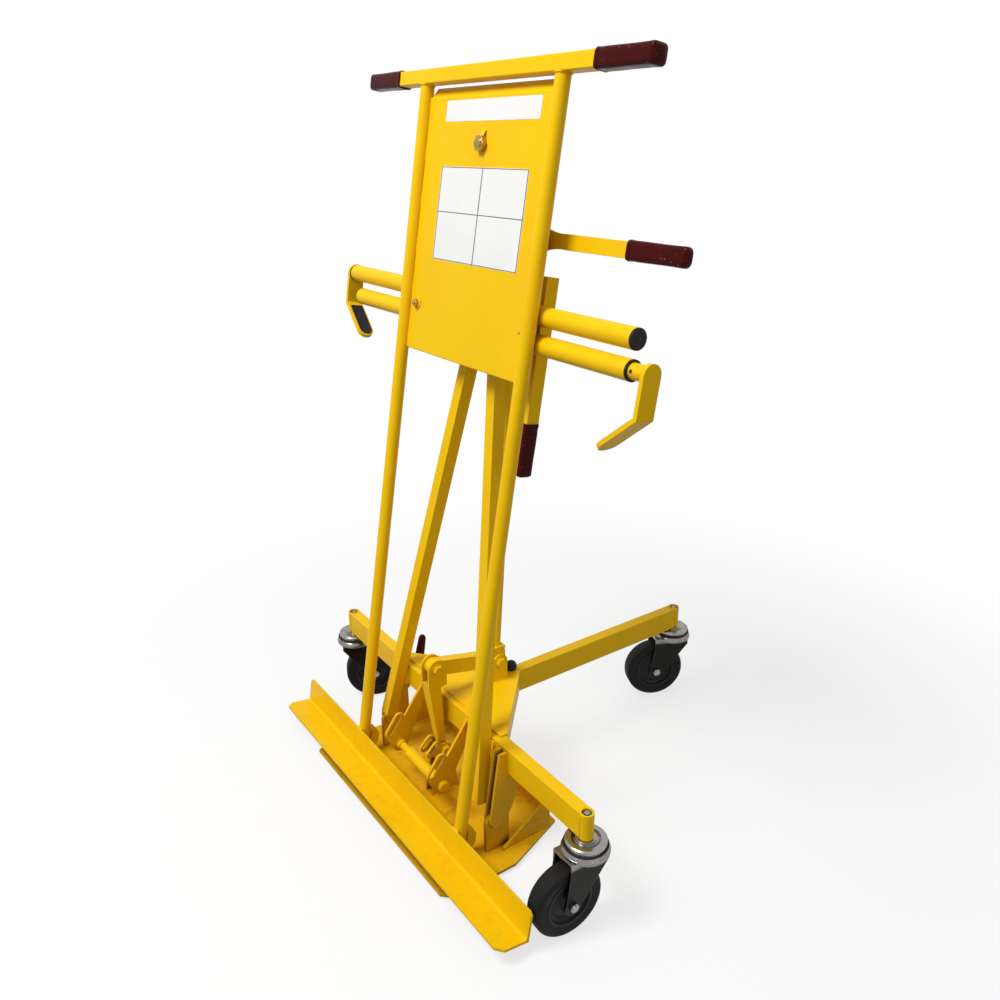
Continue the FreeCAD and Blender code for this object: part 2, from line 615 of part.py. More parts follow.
ARM_EYE = 8.0
FLUG_IN = ARM_EYE + 2.0
FLUG_T = 6.0
LOOP_R = 5.0
LOOP_RIM = 4.0
loop_a = (PIVOT_Y - 36, PIVOT_Z + 3)
loop_b = (PIVOT_Y - 20, PIVOT_Z + 18)
flugs = []
for x in (FLUG_IN, -FLUG_IN - FLUG_T):
    stand = prism([(PIVOT_Y - 34, base), (PIVOT_Y + 30, base), (PIVOT_Y + 16, PIVOT_Z),
                   (PIVOT_Y - 16, PIVOT_Z)], "x", x, FLUG_T)
    round_end = rod((x, PIVOT_Y, PIVOT_Z), (1, 0, 0), 16, FLUG_T)
    loop = hull_plate(loop_a, LOOP_R + LOOP_RIM, loop_b, LOOP_R + LOOP_RIM + 0.01, "x", x, FLUG_T)
    neck = prism([(PIVOT_Y - 18, PIVOT_Z - 22), (PIVOT_Y, PIVOT_Z + 15), loop_b, loop_a], "x", x, FLUG_T)
    window = hull_plate(loop_a, LOOP_R, loop_b, LOOP_R + 0.01, "x", x - 1, FLUG_T + 2)
    lug = fuse(stand, round_end, loop, neck).cut(window)
    flugs.append(lug.cut(rod((-60, PIVOT_Y, PIVOT_Z), (1, 0, 0), BOLT_R + SEAT, 120)))
save("floor_pivot_bolt", cross_bolt(PIVOT_Y, PIVOT_Z, FLUG_IN + FLUG_T + SEAT))

POST_X0 = PEDAL_X0 - 8
pedal_r = PLATE_TRAVEL / 2 / math.sin(math.radians(PEDAL_TURN / 2))
drive_y = PEDAL_Y + pedal_r * math.cos(math.radians(PEDAL_TURN / 2))
drive_z = PEDAL_Z + PLATE_TRAVEL / 2
post = prism([(drive_y - 16, base), (drive_y + 16, base), (drive_y + 13, drive_z + 12),
              (drive_y + 7, drive_z + 16), (drive_y - 7, drive_z + 16), (drive_y - 13, drive_z + 12)],
             "x", POST_X0, 5.5)
slot_r = 5 + LOOSE
yoke_slot = hull_plate((drive_y - 3, drive_z), slot_r, (drive_y + 3, drive_z), slot_r, "x", POST_X0 - 1, 9)
save("floor_lugs", *flugs, post.cut(yoke_slot))

# Linkage: link bar on the rear lug and pull arm with its clevis
LINK_W = YOKE_IN - GAP
LINK_H = 16.0
dy = CLEVIS_Y - LUG_Y
dz = CLEVIS_Z - LUG_Z
link_len = math.hypot(dy, dz)
link_ang = math.degrees(math.atan2(dz, -dy))
link = fuse(box(-LINK_W, LINK_W, LUG_Y - link_len, LUG_Y, LUG_Z - LINK_H, LUG_Z + LINK_H),
            rod((-LINK_W, LUG_Y, LUG_Z), (1, 0, 0), LINK_H, 2 * LINK_W),
            rod((-LINK_W, LUG_Y - link_len, LUG_Z), (1, 0, 0), LINK_H, 2 * LINK_W))
link = link.cut(box(-LINK_W + 3.5, LINK_W - 3.5, LUG_Y - link_len + 20, LUG_Y - 20, LUG_Z - 20, LUG_Z + 12))
for y in (LUG_Y, LUG_Y - link_len):
    link = link.cut(rod((-60, y, LUG_Z), (1, 0, 0), BOLT_R + RUN, 120))
save("link_bar", turned(link, (0, LUG_Y, LUG_Z), (1, 0, 0), -link_ang))

CLEV_IN = LINK_W + GAP
CLEV_T = 5.0


def section(half, y0, y1, z):
    """Rectangular wire across the arm at a height."""
    pts = [V(-half, y0, z), V(half, y0, z), V(half, y1, z), V(-half, y1, z)]
    return Part.makePolygon(pts + pts[:1])


NECK_Z = CLEVIS_Z - 34
CHEEK_R = 21.0
arm_half = CLEV_IN + CLEV_T
shell = Part.makeLoft([section(arm_half, CLEVIS_Y - CHEEK_R, CLEVIS_Y + 6, NECK_Z),
                       section(ARM_EYE, PIVOT_Y - 9, PIVOT_Y + 6, PIVOT_Z + 6)], True)
core = Part.makeLoft([section(arm_half - 4, CLEVIS_Y - CHEEK_R + 4, CLEVIS_Y + 16, NECK_Z - 4),
                      section(ARM_EYE - 4, PIVOT_Y - 5, PIVOT_Y + 14, PIVOT_Z + 18)], True)
eye_half = FLUG_IN - GAP
eye = rod((-eye_half, PIVOT_Y, PIVOT_Z), (1, 0, 0), 11, 2 * eye_half)
cheeks = []
for x in (CLEV_IN, -CLEV_IN - CLEV_T):
    cheek = fuse(rod((x, CLEVIS_Y, CLEVIS_Z), (1, 0, 0), CHEEK_R, CLEV_T),
                 box(x, x + CLEV_T, CLEVIS_Y - CHEEK_R, CLEVIS_Y + CHEEK_R, NECK_Z - 8, CLEVIS_Z))
    cheeks.append(cheek)
pull = fuse(shell.cut(core), eye, *cheeks)
pull = pull.cut(rod((-60, PIVOT_Y, PIVOT_Z), (1, 0, 0), BOLT_R + LOOSE, 120))
save("pull_arm", pull.cut(rod((-60, CLEVIS_Y, CLEVIS_Z), (1, 0, 0), BOLT_R + SEAT, 120)))
save("clevis_bolt", cross_bolt(CLEVIS_Y, CLEVIS_Z, CLEV_IN + CLEV_T + SEAT))

# Pedal: bent flat lever on a pin in its hanger, driving the post's slot
knee = (PEDAL_KNEE_Y, PEDAL_KNEE_Z)
tip = (PEDAL_TIP_Y, PEDAL_TIP_Z)
KNEE_R = 9.0
pedal_t = PEDAL_X1 - PEDAL_X0
lever = fuse(hull_plate((PEDAL_Y, PEDAL_Z), 14, knee, KNEE_R, "x", PEDAL_X0, pedal_t),
             hull_plate(knee, KNEE_R, tip, 4.5, "x", PEDAL_X0, pedal_t))
heel = hull_plate((PEDAL_Y, PEDAL_Z), 14, (drive_y, drive_z), 9, "x", PEDAL_X0, pedal_t)
drive = rod((PEDAL_X0 + 1, drive_y, drive_z), (-1, 0, 0), 5, 12)
pedal = fuse(lever, heel, drive)
save("pedal", pedal.cut(rod((-300, PEDAL_Y, PEDAL_Z), (1, 0, 0), BOLT_R + RUN, 300)))
pin = rod((PEDAL_X0 - 1.2, PEDAL_Y, PEDAL_Z), (1, 0, 0), BOLT_R, HANGER_X + GUIDE_T + 4 - PEDAL_X0)
pin_head = rod((HANGER_X + GUIDE_T + SEAT, PEDAL_Y, PEDAL_Z), (1, 0, 0), 10, 6)
collar_disc = rod((PEDAL_X1 + GAP, PEDAL_Y, PEDAL_Z), (1, 0, 0), 10, HANGER_X - PEDAL_X1 - GAP - SEAT)
frame_bolts.append(fuse(pin, pin_head, collar_disc))
save("frame_bolts", *frame_bolts)

SLEEVE_FROM = 11.0
span = math.hypot(tip[0] - knee[0], tip[1] - knee[1])
pedal_ang = math.degrees(math.atan2(tip[1] - knee[1], tip[0] - knee[0]))
mid_x = (PEDAL_X0 + PEDAL_X1) / 2
cover = hull_plate(knee, KNEE_R + GRIP_T, tip, 4.5 + GRIP_T, "x", PEDAL_X0 - 3, pedal_t + 6)
hollow = hull_plate(knee, KNEE_R + SEAT, tip, 4.5 + SEAT, "x", PEDAL_X0 - SEAT, pedal_t + 2 * SEAT)
keep = box(-60, 60, knee[0] + SLEEVE_FROM, knee[0] + span + 60, knee[1] - 60, knee[1] + 60)
keep.translate(V(mid_x, 0, 0))
keep = turned(keep, (0, knee[0], knee[1]), (1, 0, 0), pedal_ang)
save("pedal_grip", cover.cut(hollow).common(keep))

# Mast: shelf, tubes, panel, handlebar and grips
half_l = SHELF_L / 2
c = 14.0
c_up = 6.0
ledge = prism([(-half_l, SHELF_T), (-half_l, -SHELF_W + c), (-half_l + c, -SHELF_W), (half_l - c, -SHELF_W),
               (half_l, -SHELF_W + c), (half_l, SHELF_T)], "z", 0, SHELF_T)
back = prism([(-half_l, 0), (half_l, 0), (half_l, SHELF_W - c_up), (half_l - c_up, SHELF_W),
              (-half_l + c_up, SHELF_W), (-half_l, SHELF_W - c_up)], "y", 0, SHELF_T)
shelf = fuse(ledge, back)
corner = [e for e in shelf.Edges if e.BoundBox.XLength > SHELF_L - 1 and abs(e.BoundBox.YMin) < 0.01
          and abs(e.BoundBox.YMax) < 0.01 and abs(e.BoundBox.ZMin - SHELF_T) < 0.01]
save("door_shelf", on_mast(shelf.makeFillet(6, corner)))

tube_top = BAR_S - BAR_SQ / 2 - SEAT
tube = pipe((TUBE_X, TUBE_N, 7), (0, 0, 1), TUBE_R, TUBE_R - TUBE_WALL, tube_top - 7)
save("mast_tubes", on_mast(tube), on_mast(mirror_x(tube)))

EAR_N = TUBE_N + TUBE_R + SEAT
ear = prism([(EAR_N, 14), (40, 9), (50, 24), (50, 44), (41, 57), (EAR_N, 52)], "x", TUBE_X - 10, 20)
save("mast_ears", on_mast(ear), on_mast(mirror_x(ear)))

panel_half = TUBE_X - math.sqrt(TUBE_R ** 2 - (PANEL_N - TUBE_N) ** 2) - SEAT
sheet = box(-panel_half, panel_half, PANEL_N, PANEL_BACK, PANEL_S0, PANEL_S1)
hem = 3.6
fold_run = math.hypot(FOLD_N - PANEL_N, FOLD_S - PANEL_S1)
back_n = PANEL_T * (FOLD_S - PANEL_S1) / fold_run
back_s = PANEL_T * (FOLD_N - PANEL_N) / fold_run
fold_top = prism([(PANEL_N, PANEL_S1 - 3), (PANEL_N, PANEL_S1), (FOLD_N, FOLD_S),
                  (FOLD_N + back_n, FOLD_S - back_s), (PANEL_BACK, PANEL_S1 - 1.0),
                  (PANEL_BACK, PANEL_S1 - 3)], "x", -panel_half, 2 * panel_half)
fold_low = box(-panel_half, panel_half, PANEL_N, PANEL_N + 14, PANEL_S0, PANEL_S0 + PANEL_T)
sides = [box(panel_half - PANEL_T, panel_half, PANEL_N, PANEL_BACK + hem, PANEL_S0, PANEL_S1)]
sides.append(mirror_x(sides[0]))
panel = fuse(sheet, fold_top, fold_low, *sides)
panel = panel.makeFillet(2.4, [e for e in panel.Edges if abs(e.BoundBox.YMax - PANEL_N) < 0.01
                               and e.Length > 200 and e.BoundBox.ZLength < 1])
save("back_panel", on_mast(panel.cut(rod((0, 0, APEX_S), (0, 1, 0), APEX_BOLT_R + SEAT, 100))))

bolt = rod((0, PANEL_N - 12, APEX_S), (0, 1, 0), APEX_BOLT_R, APEX_N1 + 24 - PANEL_N)
bolt_head = hex_prism((0, PANEL_N - SEAT, APEX_S), (0, -1, 0), 24, 10)
bolt_nut = hex_prism((0, APEX_N1 + GAP, APEX_S), (0, 1, 0), 24, 9)
mast_pivots = [fuse(bolt, bolt_head, bolt_nut)]

half_bar = BAR_SQ / 2
bar = box(-BAR_HALF, BAR_HALF, TUBE_N - half_bar, TUBE_N + half_bar, BAR_S - half_bar, BAR_S + half_bar)
bar = bar.makeFillet(2.5, [e for e in bar.Edges if abs(e.tangentAt(e.FirstParameter).x) > 0.9])
bore = half_bar - 2
bar = bar.cut(box(-BAR_HALF - 1, BAR_HALF + 1, TUBE_N - bore, TUBE_N + bore, BAR_S - bore, BAR_S + bore))
save("handlebar", on_mast(bar))
grip = sleeve_grip(BAR_HALF + 13 - GRIP_L, BAR_HALF + 13, half_bar, TUBE_N, BAR_S, 1)
save("handle_grips", on_mast(grip), on_mast(mirror_x(grip)))

# Door arms: outer tubes, webs, collars, plugs, sliding inner tubes and turning hooks
upper = pipe((ARM_UP_X0, ARM_N, ARM_UP_S), (1, 0, 0), ARM_R, ARM_BORE_R, ARM_UP_X1 - ARM_UP_X0)
lower = pipe((ARM_LOW_X0, ARM_N, ARM_LOW_S), (1, 0, 0), ARM_R, ARM_BORE_R, ARM_LOW_X1 - ARM_LOW_X0)
save("arm_tube_upper", on_mast(upper))
save("arm_tube_lower", on_mast(lower))


def arm_spaces(clear):
    """Two bars that stand for the outer tubes with a clearance round them."""
    return [rod((-600, ARM_N, s), (1, 0, 0), ARM_R + clear, 1200) for s in (ARM_UP_S, ARM_LOW_S)]


web = box(-166, -158, PANEL_BACK + SEAT, ARM_N + 8, ARM_LOW_S - 22, ARM_UP_S + 22)
web = cut(web, *arm_spaces(SEAT))
webs = [on_mast(piece) for piece in web.Solids]
webs += [on_mast(mirror_x(piece)) for piece in web.Solids]

COLLAR_T = 3.0


def collar(x, s, sign):
    """Guide collar on the open end of an outer tube."""
    return pipe((x + sign * SEAT, ARM_N, s), (sign, 0, 0), ARM_R, INNER_R + RUN, COLLAR_T)


def plug(x, s, sign):
    """Rubber end plug pushed into the closed end of an outer tube."""
    cap = rod((x + sign * SEAT, ARM_N, s), (sign, 0, 0), ARM_R, 4)
    tip = x + sign * (SEAT + 4)
    rim = [e for e in cap.Edges if abs(e.BoundBox.XMin - tip) < 0.01 and e.BoundBox.XLength < 0.01]
    cap = cap.makeFillet(2, rim)
    return fuse(cap, rod((x - sign * 18, ARM_N, s), (sign, 0, 0), ARM_BORE_R - SEAT, 19))


save("arm_collars", on_mast(collar(ARM_UP_X0, ARM_UP_S, -1)), on_mast(collar(ARM_LOW_X1, ARM_LOW_S, 1)))
save("arm_plugs", on_mast(plug(ARM_UP_X1, ARM_UP_S, 1)), on_mast(plug(ARM_LOW_X0, ARM_LOW_S, -1)))

hook_len = math.hypot(HOOK_IN, HOOK_DOWN)
hook_ang = math.degrees(math.atan2(HOOK_DOWN, HOOK_IN))
half_w = HOOK_W / 2
half_t = HOOK_T / 2


def hook_leaf(x, s):
    """Inward leg of a right-hand hook, rounded at its tip, and the pad on its upper face."""
    leaf = box(-hook_len + half_w, 0, ARM_N - half_w, ARM_N + half_w, -half_t, half_t)
    leaf = fuse(leaf, rod((-hook_len + half_w, ARM_N, -half_t), (0, 0, 1), half_w, HOOK_T))
    pad = box(-hook_len + half_w, -14, ARM_N - half_w + 4, ARM_N + half_w - 4, half_t + SEAT, half_t + PAD_T)
    pad = fuse(pad, rod((-hook_len + half_w, ARM_N, half_t + SEAT), (0, 0, 1), half_w - 4, PAD_T - SEAT))
    out = []
    for shape in (leaf, pad):
        shape = turned(shape, (0, 0, 0), (0, 1, 0), -hook_ang)
        shape.translate(V(x, 0, s - HOOK_DROP))
        out.append(shape)
    return out


def hook_set(x, s):
    """Right-hand hook at station x: plate with round top and inward leg, its inner tube, pad and glide."""
    plate = fuse(box(x - half_t, x + half_t, ARM_N - half_w, ARM_N + half_w, s - HOOK_DROP, s),
                 rod((x - half_t, ARM_N, s), (1, 0, 0), half_w, HOOK_T),
                 rod((x, ARM_N - half_w, s - HOOK_DROP), (0, 1, 0), half_t, HOOK_W))
    leaf, pad = hook_leaf(x, s)
    end = x - half_t - INNER_L
    inner = pipe((end, ARM_N, s), (1, 0, 0), INNER_R, INNER_BORE_R, INNER_L)
    inner = inner.cut(rod((x - half_t - 25, ARM_N - 40, s), (0, 1, 0), 3.2, 80))
    glide = fuse(rod((end - GAP - 30, ARM_N, s), (1, 0, 0), ARM_BORE_R - RUN, 30),
                 rod((end - GAP - 1, ARM_N, s), (1, 0, 0), INNER_BORE_R - RUN, 28))
    return {"hook": fuse(plate, leaf, inner), "pad": pad, "glide": glide}


HOOK_X_RIGHT = 453.0
HOOK_X_LEFT = -(ARM_UP_X0 - COLLAR_T - SEAT - 1.5 - half_t)
for name, shape in hook_set(HOOK_X_RIGHT, ARM_LOW_S).items():
    save("right_" + name, on_mast(shape))
for name, shape in hook_set(HOOK_X_LEFT, ARM_UP_S).items():
    save("left_" + name, on_mast(mirror_x(shape)))

# Tilt lever: flat bar with a filleted hub and an eccentric that works in the tripod's window
LEVER_N0 = APEX_N0 + 3.5
LEVER_T = 6.0
PIN_R = 9.0
HALF_H = 12.5
root_x = HUB_X + HUB_R * math.cos(math.radians(50))
root_s = HUB_R * math.sin(math.radians(50))


def lever_outline():
    """Face of the bar with concave curves running into the hub."""
    edges = []
    x1 = HUB_X + 92
    for sign in (1, -1):
        a = V(root_x, LEVER_N0, HUB_S + sign * root_s)
        m = V(root_x + 28, LEVER_N0, HUB_S + sign * (HALF_H + 3))
        b = V(x1, LEVER_N0, HUB_S + sign * HALF_H)
        edges.append(Part.Arc(a, m, b).toShape())
    tip = LEVER_END_X - 8
    far_up = V(tip, LEVER_N0, HUB_S + HALF_H)
    far_low = V(tip, LEVER_N0, HUB_S - HALF_H)
    wire = Part.Wire([edges[0], Part.makeLine(V(x1, LEVER_N0, HUB_S + HALF_H), far_up),
                      Part.makeLine(far_up, far_low),
                      Part.makeLine(far_low, V(x1, LEVER_N0, HUB_S - HALF_H)), edges[1],
                      Part.makeLine(V(root_x, LEVER_N0, HUB_S - root_s), V(root_x, LEVER_N0, HUB_S + root_s))])
    return Part.Face(wire)


blade = lever_outline().extrude(V(0, LEVER_T, 0))
hub = rod((HUB_X, LEVER_N0, HUB_S), (0, 1, 0), HUB_R, LEVER_T)
cam = rod((cam_x, TILT_N0, cam_s), (0, 1, 0), CAM_R, LEVER_N0 - TILT_N0 + 1)
tilt_lever = fuse(blade, hub, cam)
save("tilt_lever", on_mast(tilt_lever.cut(rod((HUB_X, 0, HUB_S), (0, 1, 0), PIN_R + RUN, 200))))

pivot = rod((HUB_X, PANEL_BACK + SEAT, HUB_S), (0, 1, 0), PIN_R, LEVER_N0 + LEVER_T + 6 - PANEL_BACK)
foot_disc = rod((HUB_X, PANEL_BACK + SEAT, HUB_S), (0, 1, 0), 22, 5)
stop_disc = rod((HUB_X, LEVER_N0 + LEVER_T + GAP, HUB_S), (0, 1, 0), 14, 4)
mast_pivots.append(fuse(pivot, foot_disc, stop_disc))

mid_n = LEVER_N0 + LEVER_T / 2
cover = box(LEVER_END_X - GRIP_L, LEVER_END_X, mid_n - 9, mid_n + 9, HUB_S - HALF_H - 2.5, HUB_S + HALF_H + 2.5)
cover = cover.makeFillet(7, [e for e in cover.Edges if abs(e.tangentAt(e.FirstParameter).x) > 0.9])
rim = [e for e in cover.Edges if abs(e.BoundBox.XMin - LEVER_END_X) < 0.01 and e.BoundBox.XLength < 0.01]
cover = cover.makeFillet(4, rim)
cover = cover.cut(box(0, LEVER_END_X - 8 + SEAT, mid_n - LEVER_T / 2 - SEAT, mid_n + LEVER_T / 2 + SEAT,
                      HUB_S - HALF_H - SEAT, HUB_S + HALF_H + SEAT))
save("tilt_grip", on_mast(cover))

# Arm clamp lever: square bar hung behind the arms on a pin in one cheek
q = CLAMP_SQ / 2
cheek_x = CLAMP_X - q - GAP - 5
cheek = prism([(ARM_N, ARM_LOW_S), (ARM_N + 20, ARM_LOW_S), (CLAMP_N + 12, CLAMP_S - 8),
               (CLAMP_N + 12, CLAMP_S + 8), (CLAMP_N + 6, CLAMP_S + 14), (CLAMP_N - 10, CLAMP_S + 14),
               (ARM_N, ARM_UP_S)], "x", cheek_x, 5)
cheek = cut(cheek, *arm_spaces(SEAT))
cheek = max(cheek.Solids, key=lambda part: part.Volume)
cheek = cheek.cut(rod((0, CLAMP_N, CLAMP_S), (1, 0, 0), BOLT_R + SEAT, 400))
save("arm_brackets", *webs, on_mast(cheek))

clamp = box(CLAMP_X - q, CLAMP_X + q, CLAMP_N - q, CLAMP_N + q, CLAMP_END_S + 6, CLAMP_S + 19)
clamp = clamp.cut(box(CLAMP_X - q + 2, CLAMP_X + q - 2, CLAMP_N - q + 2, CLAMP_N + q - 2, 0, CLAMP_S - 16))
save("clamp_lever", on_mast(clamp.cut(rod((0, CLAMP_N, CLAMP_S), (1, 0, 0), BOLT_R + RUN, CLAMP_X + q - 4))))
clamp_pin = fuse(rod((cheek_x - 2, CLAMP_N, CLAMP_S), (1, 0, 0), BOLT_R, CLAMP_X + q - 5 - cheek_x + 2),
                 rod((cheek_x - SEAT, CLAMP_N, CLAMP_S), (-1, 0, 0), 9.5, 5))
mast_pivots.append(clamp_pin)
save("mast_pivots", *[on_mast(piece) for piece in mast_pivots])

cover = sleeve_grip(0, CLAMP_GRIP_L, q, 0, 0, 1)
cover = turned(cover, (0, 0, 0), (0, 1, 0), 90)
cover.translate(V(CLAMP_X, CLAMP_N, CLAMP_END_S + CLAMP_GRIP_L))
save("clamp_grip", on_mast(cover))
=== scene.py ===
"""Looks of a door dolly: enamel, grips, welds, fasteners and bare sheets dressed over its solid frame.

Lengths are metres in the frame of the solids: X along the shelf, Y to the rear, Z up, floor at Z = 0.
"""
from __future__ import annotations

import json
import logging
import math
from dataclasses import dataclass, field
from enum import Enum
from typing import Iterable, Mapping, Sequence, Union

import bmesh
import bpy
import numpy as np
from mathutils import Matrix, Vector


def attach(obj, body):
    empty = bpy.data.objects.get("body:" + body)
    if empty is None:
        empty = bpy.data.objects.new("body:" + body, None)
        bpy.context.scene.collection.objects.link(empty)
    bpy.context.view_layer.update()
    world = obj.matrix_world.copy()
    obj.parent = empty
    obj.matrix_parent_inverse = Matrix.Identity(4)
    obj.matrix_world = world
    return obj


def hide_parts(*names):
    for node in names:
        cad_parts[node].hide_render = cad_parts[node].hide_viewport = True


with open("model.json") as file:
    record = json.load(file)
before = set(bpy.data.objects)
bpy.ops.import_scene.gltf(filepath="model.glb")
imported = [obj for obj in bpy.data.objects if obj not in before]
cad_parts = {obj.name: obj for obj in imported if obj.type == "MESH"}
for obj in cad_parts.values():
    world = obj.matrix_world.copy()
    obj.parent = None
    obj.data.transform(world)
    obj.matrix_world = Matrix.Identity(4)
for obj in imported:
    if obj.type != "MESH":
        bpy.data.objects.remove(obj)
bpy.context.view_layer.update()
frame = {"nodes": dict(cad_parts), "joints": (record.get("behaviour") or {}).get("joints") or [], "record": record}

LOG = logging.getLogger("door_dolly")
MM = 0.001
MERGE = 1e-7
TURN = 2.0 * math.pi
Rgb = tuple[float, float, float]
Point = tuple[float, float, float]
Pair = tuple[float, float]
Place = Union[np.ndarray, float, Pair]
Operand = Union["Value", float, int]
Colour = Union[Rgb, bpy.types.NodeSocket]
Sockets = Mapping[Union[str, int], object]
WHITE: Rgb = (1.0, 1.0, 1.0)


# Axes and places read from the frame


def unit(vector: Sequence[float]) -> np.ndarray:
    """Return the vector scaled to length one."""
    array = np.asarray(vector, float)
    return array / np.linalg.norm(array)


def mesh_points(piece: bpy.types.Object) -> np.ndarray:
    """Return the rest positions of a piece's vertices as rows of XYZ."""
    flat = np.empty(len(piece.data.vertices) * 3)
    piece.data.vertices.foreach_get("co", flat)
    return flat.reshape(-1, 3)


def joint(name: str) -> dict:
    """Return the frame's entry for one joint."""
    return next(entry for entry in frame["joints"] if entry["name"] == name)


def mount(name: str) -> dict:
    """Return the frame's entry for one mount."""
    return next(entry for entry in frame["record"]["mounts"] if entry["name"] == name)


@dataclass(frozen=True)
class Axes:
    """Right-handed axes at a point: across, depth and up."""

    origin: np.ndarray
    across: np.ndarray
    depth: np.ndarray
    up: np.ndarray

    def at(self, x: Place, n: Place, s: Place) -> np.ndarray:
        """Return the positions of points given by their distances across, in depth and up."""
        x, n, s = np.broadcast_arrays(np.asarray(x, float), n, s)
        return self.origin + x[..., None] * self.across + n[..., None] * self.depth + s[..., None] * self.up

    def span(self, node: str) -> tuple[np.ndarray, np.ndarray]:
        """Return a solid's lowest and highest places across, in depth and up."""
        ways = np.stack([self.across, self.depth, self.up], axis=1)
        local = (mesh_points(frame["nodes"][node]) - self.origin) @ ways
        return local.min(axis=0), local.max(axis=0)

    def box(self, node: str) -> tuple[np.ndarray, np.ndarray]:
        """Return a solid's middle and its half size along these axes."""
        low, high = self.span(node)
        return (low + high) / 2, (high - low) / 2

    def about(self, centre: Point, axis: str, a: np.ndarray, b: np.ndarray, h: np.ndarray) -> np.ndarray:
        """Return points about an axis (x, n or s) through a centre: a and b square to it, h along it."""
        x, n, s = {"x": (h, a, b), "n": (b, h, a), "s": (a, b, h)}[axis]
        return self.at(centre[0] + x, centre[1] + n, centre[2] + s)


def mast_axes() -> Axes:
    """Return axes at the foot of the mast: depth behind the shelf's upright leg, up along the mast."""
    up = unit(mount("door_ledge")["axis"])
    depth = -unit(mount("door_backstop")["axis"])
    foot = np.asarray(mount("door_backstop")["pos_m"])
    ledge = np.asarray(mount("door_ledge")["pos_m"])
    drop = (foot - ledge) @ up
    return Axes(foot - drop * up, np.array([1.0, 0.0, 0.0]), depth, up)


FLOOR = Axes(np.zeros(3), *np.eye(3))
MAST = mast_axes()


# Surfaces worked out as whole arrays


def angles(count: int) -> np.ndarray:
    """Return evenly spaced angles round a full turn, from zero."""
    return np.arange(count) * TURN / count


@dataclass
class Patch:
    """One closed surface: points, quads and end caps as rows of point numbers."""

    points: np.ndarray
    quads: np.ndarray
    caps: list[np.ndarray] = field(default_factory=list)


def tube_patch(grid: np.ndarray, ring: bool = False) -> Patch:
    """Close a grid of points round its columns.

    Each row is one closed outline. Neighbouring rows are joined by quads. The first and last rows are capped,
    or joined to each other where the rows form a ring.

    Args:
        grid: Points with rows, columns and XYZ.
        ring: True where the last row meets the first.

    Returns:
        The closed surface.
    """
    rows, cols = grid.shape[:2]
    number = np.arange(rows * cols).reshape(rows, cols)
    lower = number if ring else number[:-1]
    upper = np.roll(number, -1, axis=0) if ring else number[1:]
    corners = [lower, np.roll(lower, -1, axis=1), np.roll(upper, -1, axis=1), upper]
    quads = np.stack(corners, axis=-1).reshape(-1, 4)
    caps = [] if ring else [number[0][::-1], number[-1]]
    return Patch(grid.reshape(-1, 3), quads, caps)


def build(name: str, patches: Iterable[Patch], smooth_deg: float = 35.0) -> bpy.types.Object:
    """Put closed surfaces into one mesh object at the origin.

    Args:
        name: Name of the piece.
        patches: Surfaces that belong to it.
        smooth_deg: Edges sharper than this stay sharp.

    Returns:
        The new object.
    """
    points, faces, start = [], [], 0
    for patch in patches:
        points.append(patch.points)
        faces += (patch.quads + start).tolist()
        faces += [(cap + start).tolist() for cap in patch.caps]
        start += len(patch.points)
    mesh = bpy.data.meshes.new(name)
    mesh.from_pydata(np.concatenate(points), [], faces)
    work = bmesh.new()
    work.from_mesh(mesh)
    bmesh.ops.remove_doubles(work, verts=work.verts, dist=MERGE)
    bmesh.ops.recalc_face_normals(work, faces=work.faces)
    work.to_mesh(mesh)
    work.free()
    mesh.polygons.foreach_set("use_smooth", np.ones(len(mesh.polygons), bool))
    mesh.set_sharp_from_angle(angle=math.radians(smooth_deg))
    piece = bpy.data.objects.new(name, mesh)
    bpy.context.scene.collection.objects.link(piece)
    return piece


def resample(points: np.ndarray, step: float) -> np.ndarray:
    """Space points evenly along a polyline by linear interpolation of its arc length.

    Args:
        points: Corner points of the line.
        step: Wanted distance between points.

    Returns:
        The evenly spaced points.
    """
    length = np.concatenate([[0.0], np.cumsum(np.linalg.norm(np.diff(points, axis=0), axis=1))])
    count = max(4, int(round(length[-1] / step)) + 1)
    where = np.linspace(0.0, length[-1], count)
    return np.stack([np.interp(where, length, points[:, axis]) for axis in range(3)], axis=1)


def sweep(path: np.ndarray, reach: np.ndarray, sides: int = 8) -> Patch:
    """Carry a circle along a path.

    A point is the path's point plus reach times the cosine of the angle along one normal and the sine along
    the other; the normals lie in and across the path's own plane.

    Args:
        path: Points of the centre line.
        reach: Radius at each point.
        sides: Points round the circle.

    Returns:
        The closed surface.
    """
    along = np.gradient(path, axis=0)
    along /= np.linalg.norm(along, axis=1, keepdims=True)
    across = np.linalg.svd(path - path.mean(axis=0), full_matrices=False)[2][2]
    first = np.cross(along, across)
    first /= np.linalg.norm(first, axis=1, keepdims=True)
    second = np.cross(along, first)
    angle = angles(sides)
    round_ = first[:, None] * np.cos(angle)[None, :, None] + second[:, None] * np.sin(angle)[None, :, None]
    return tube_patch(path[:, None] + reach[:, None, None] * round_)


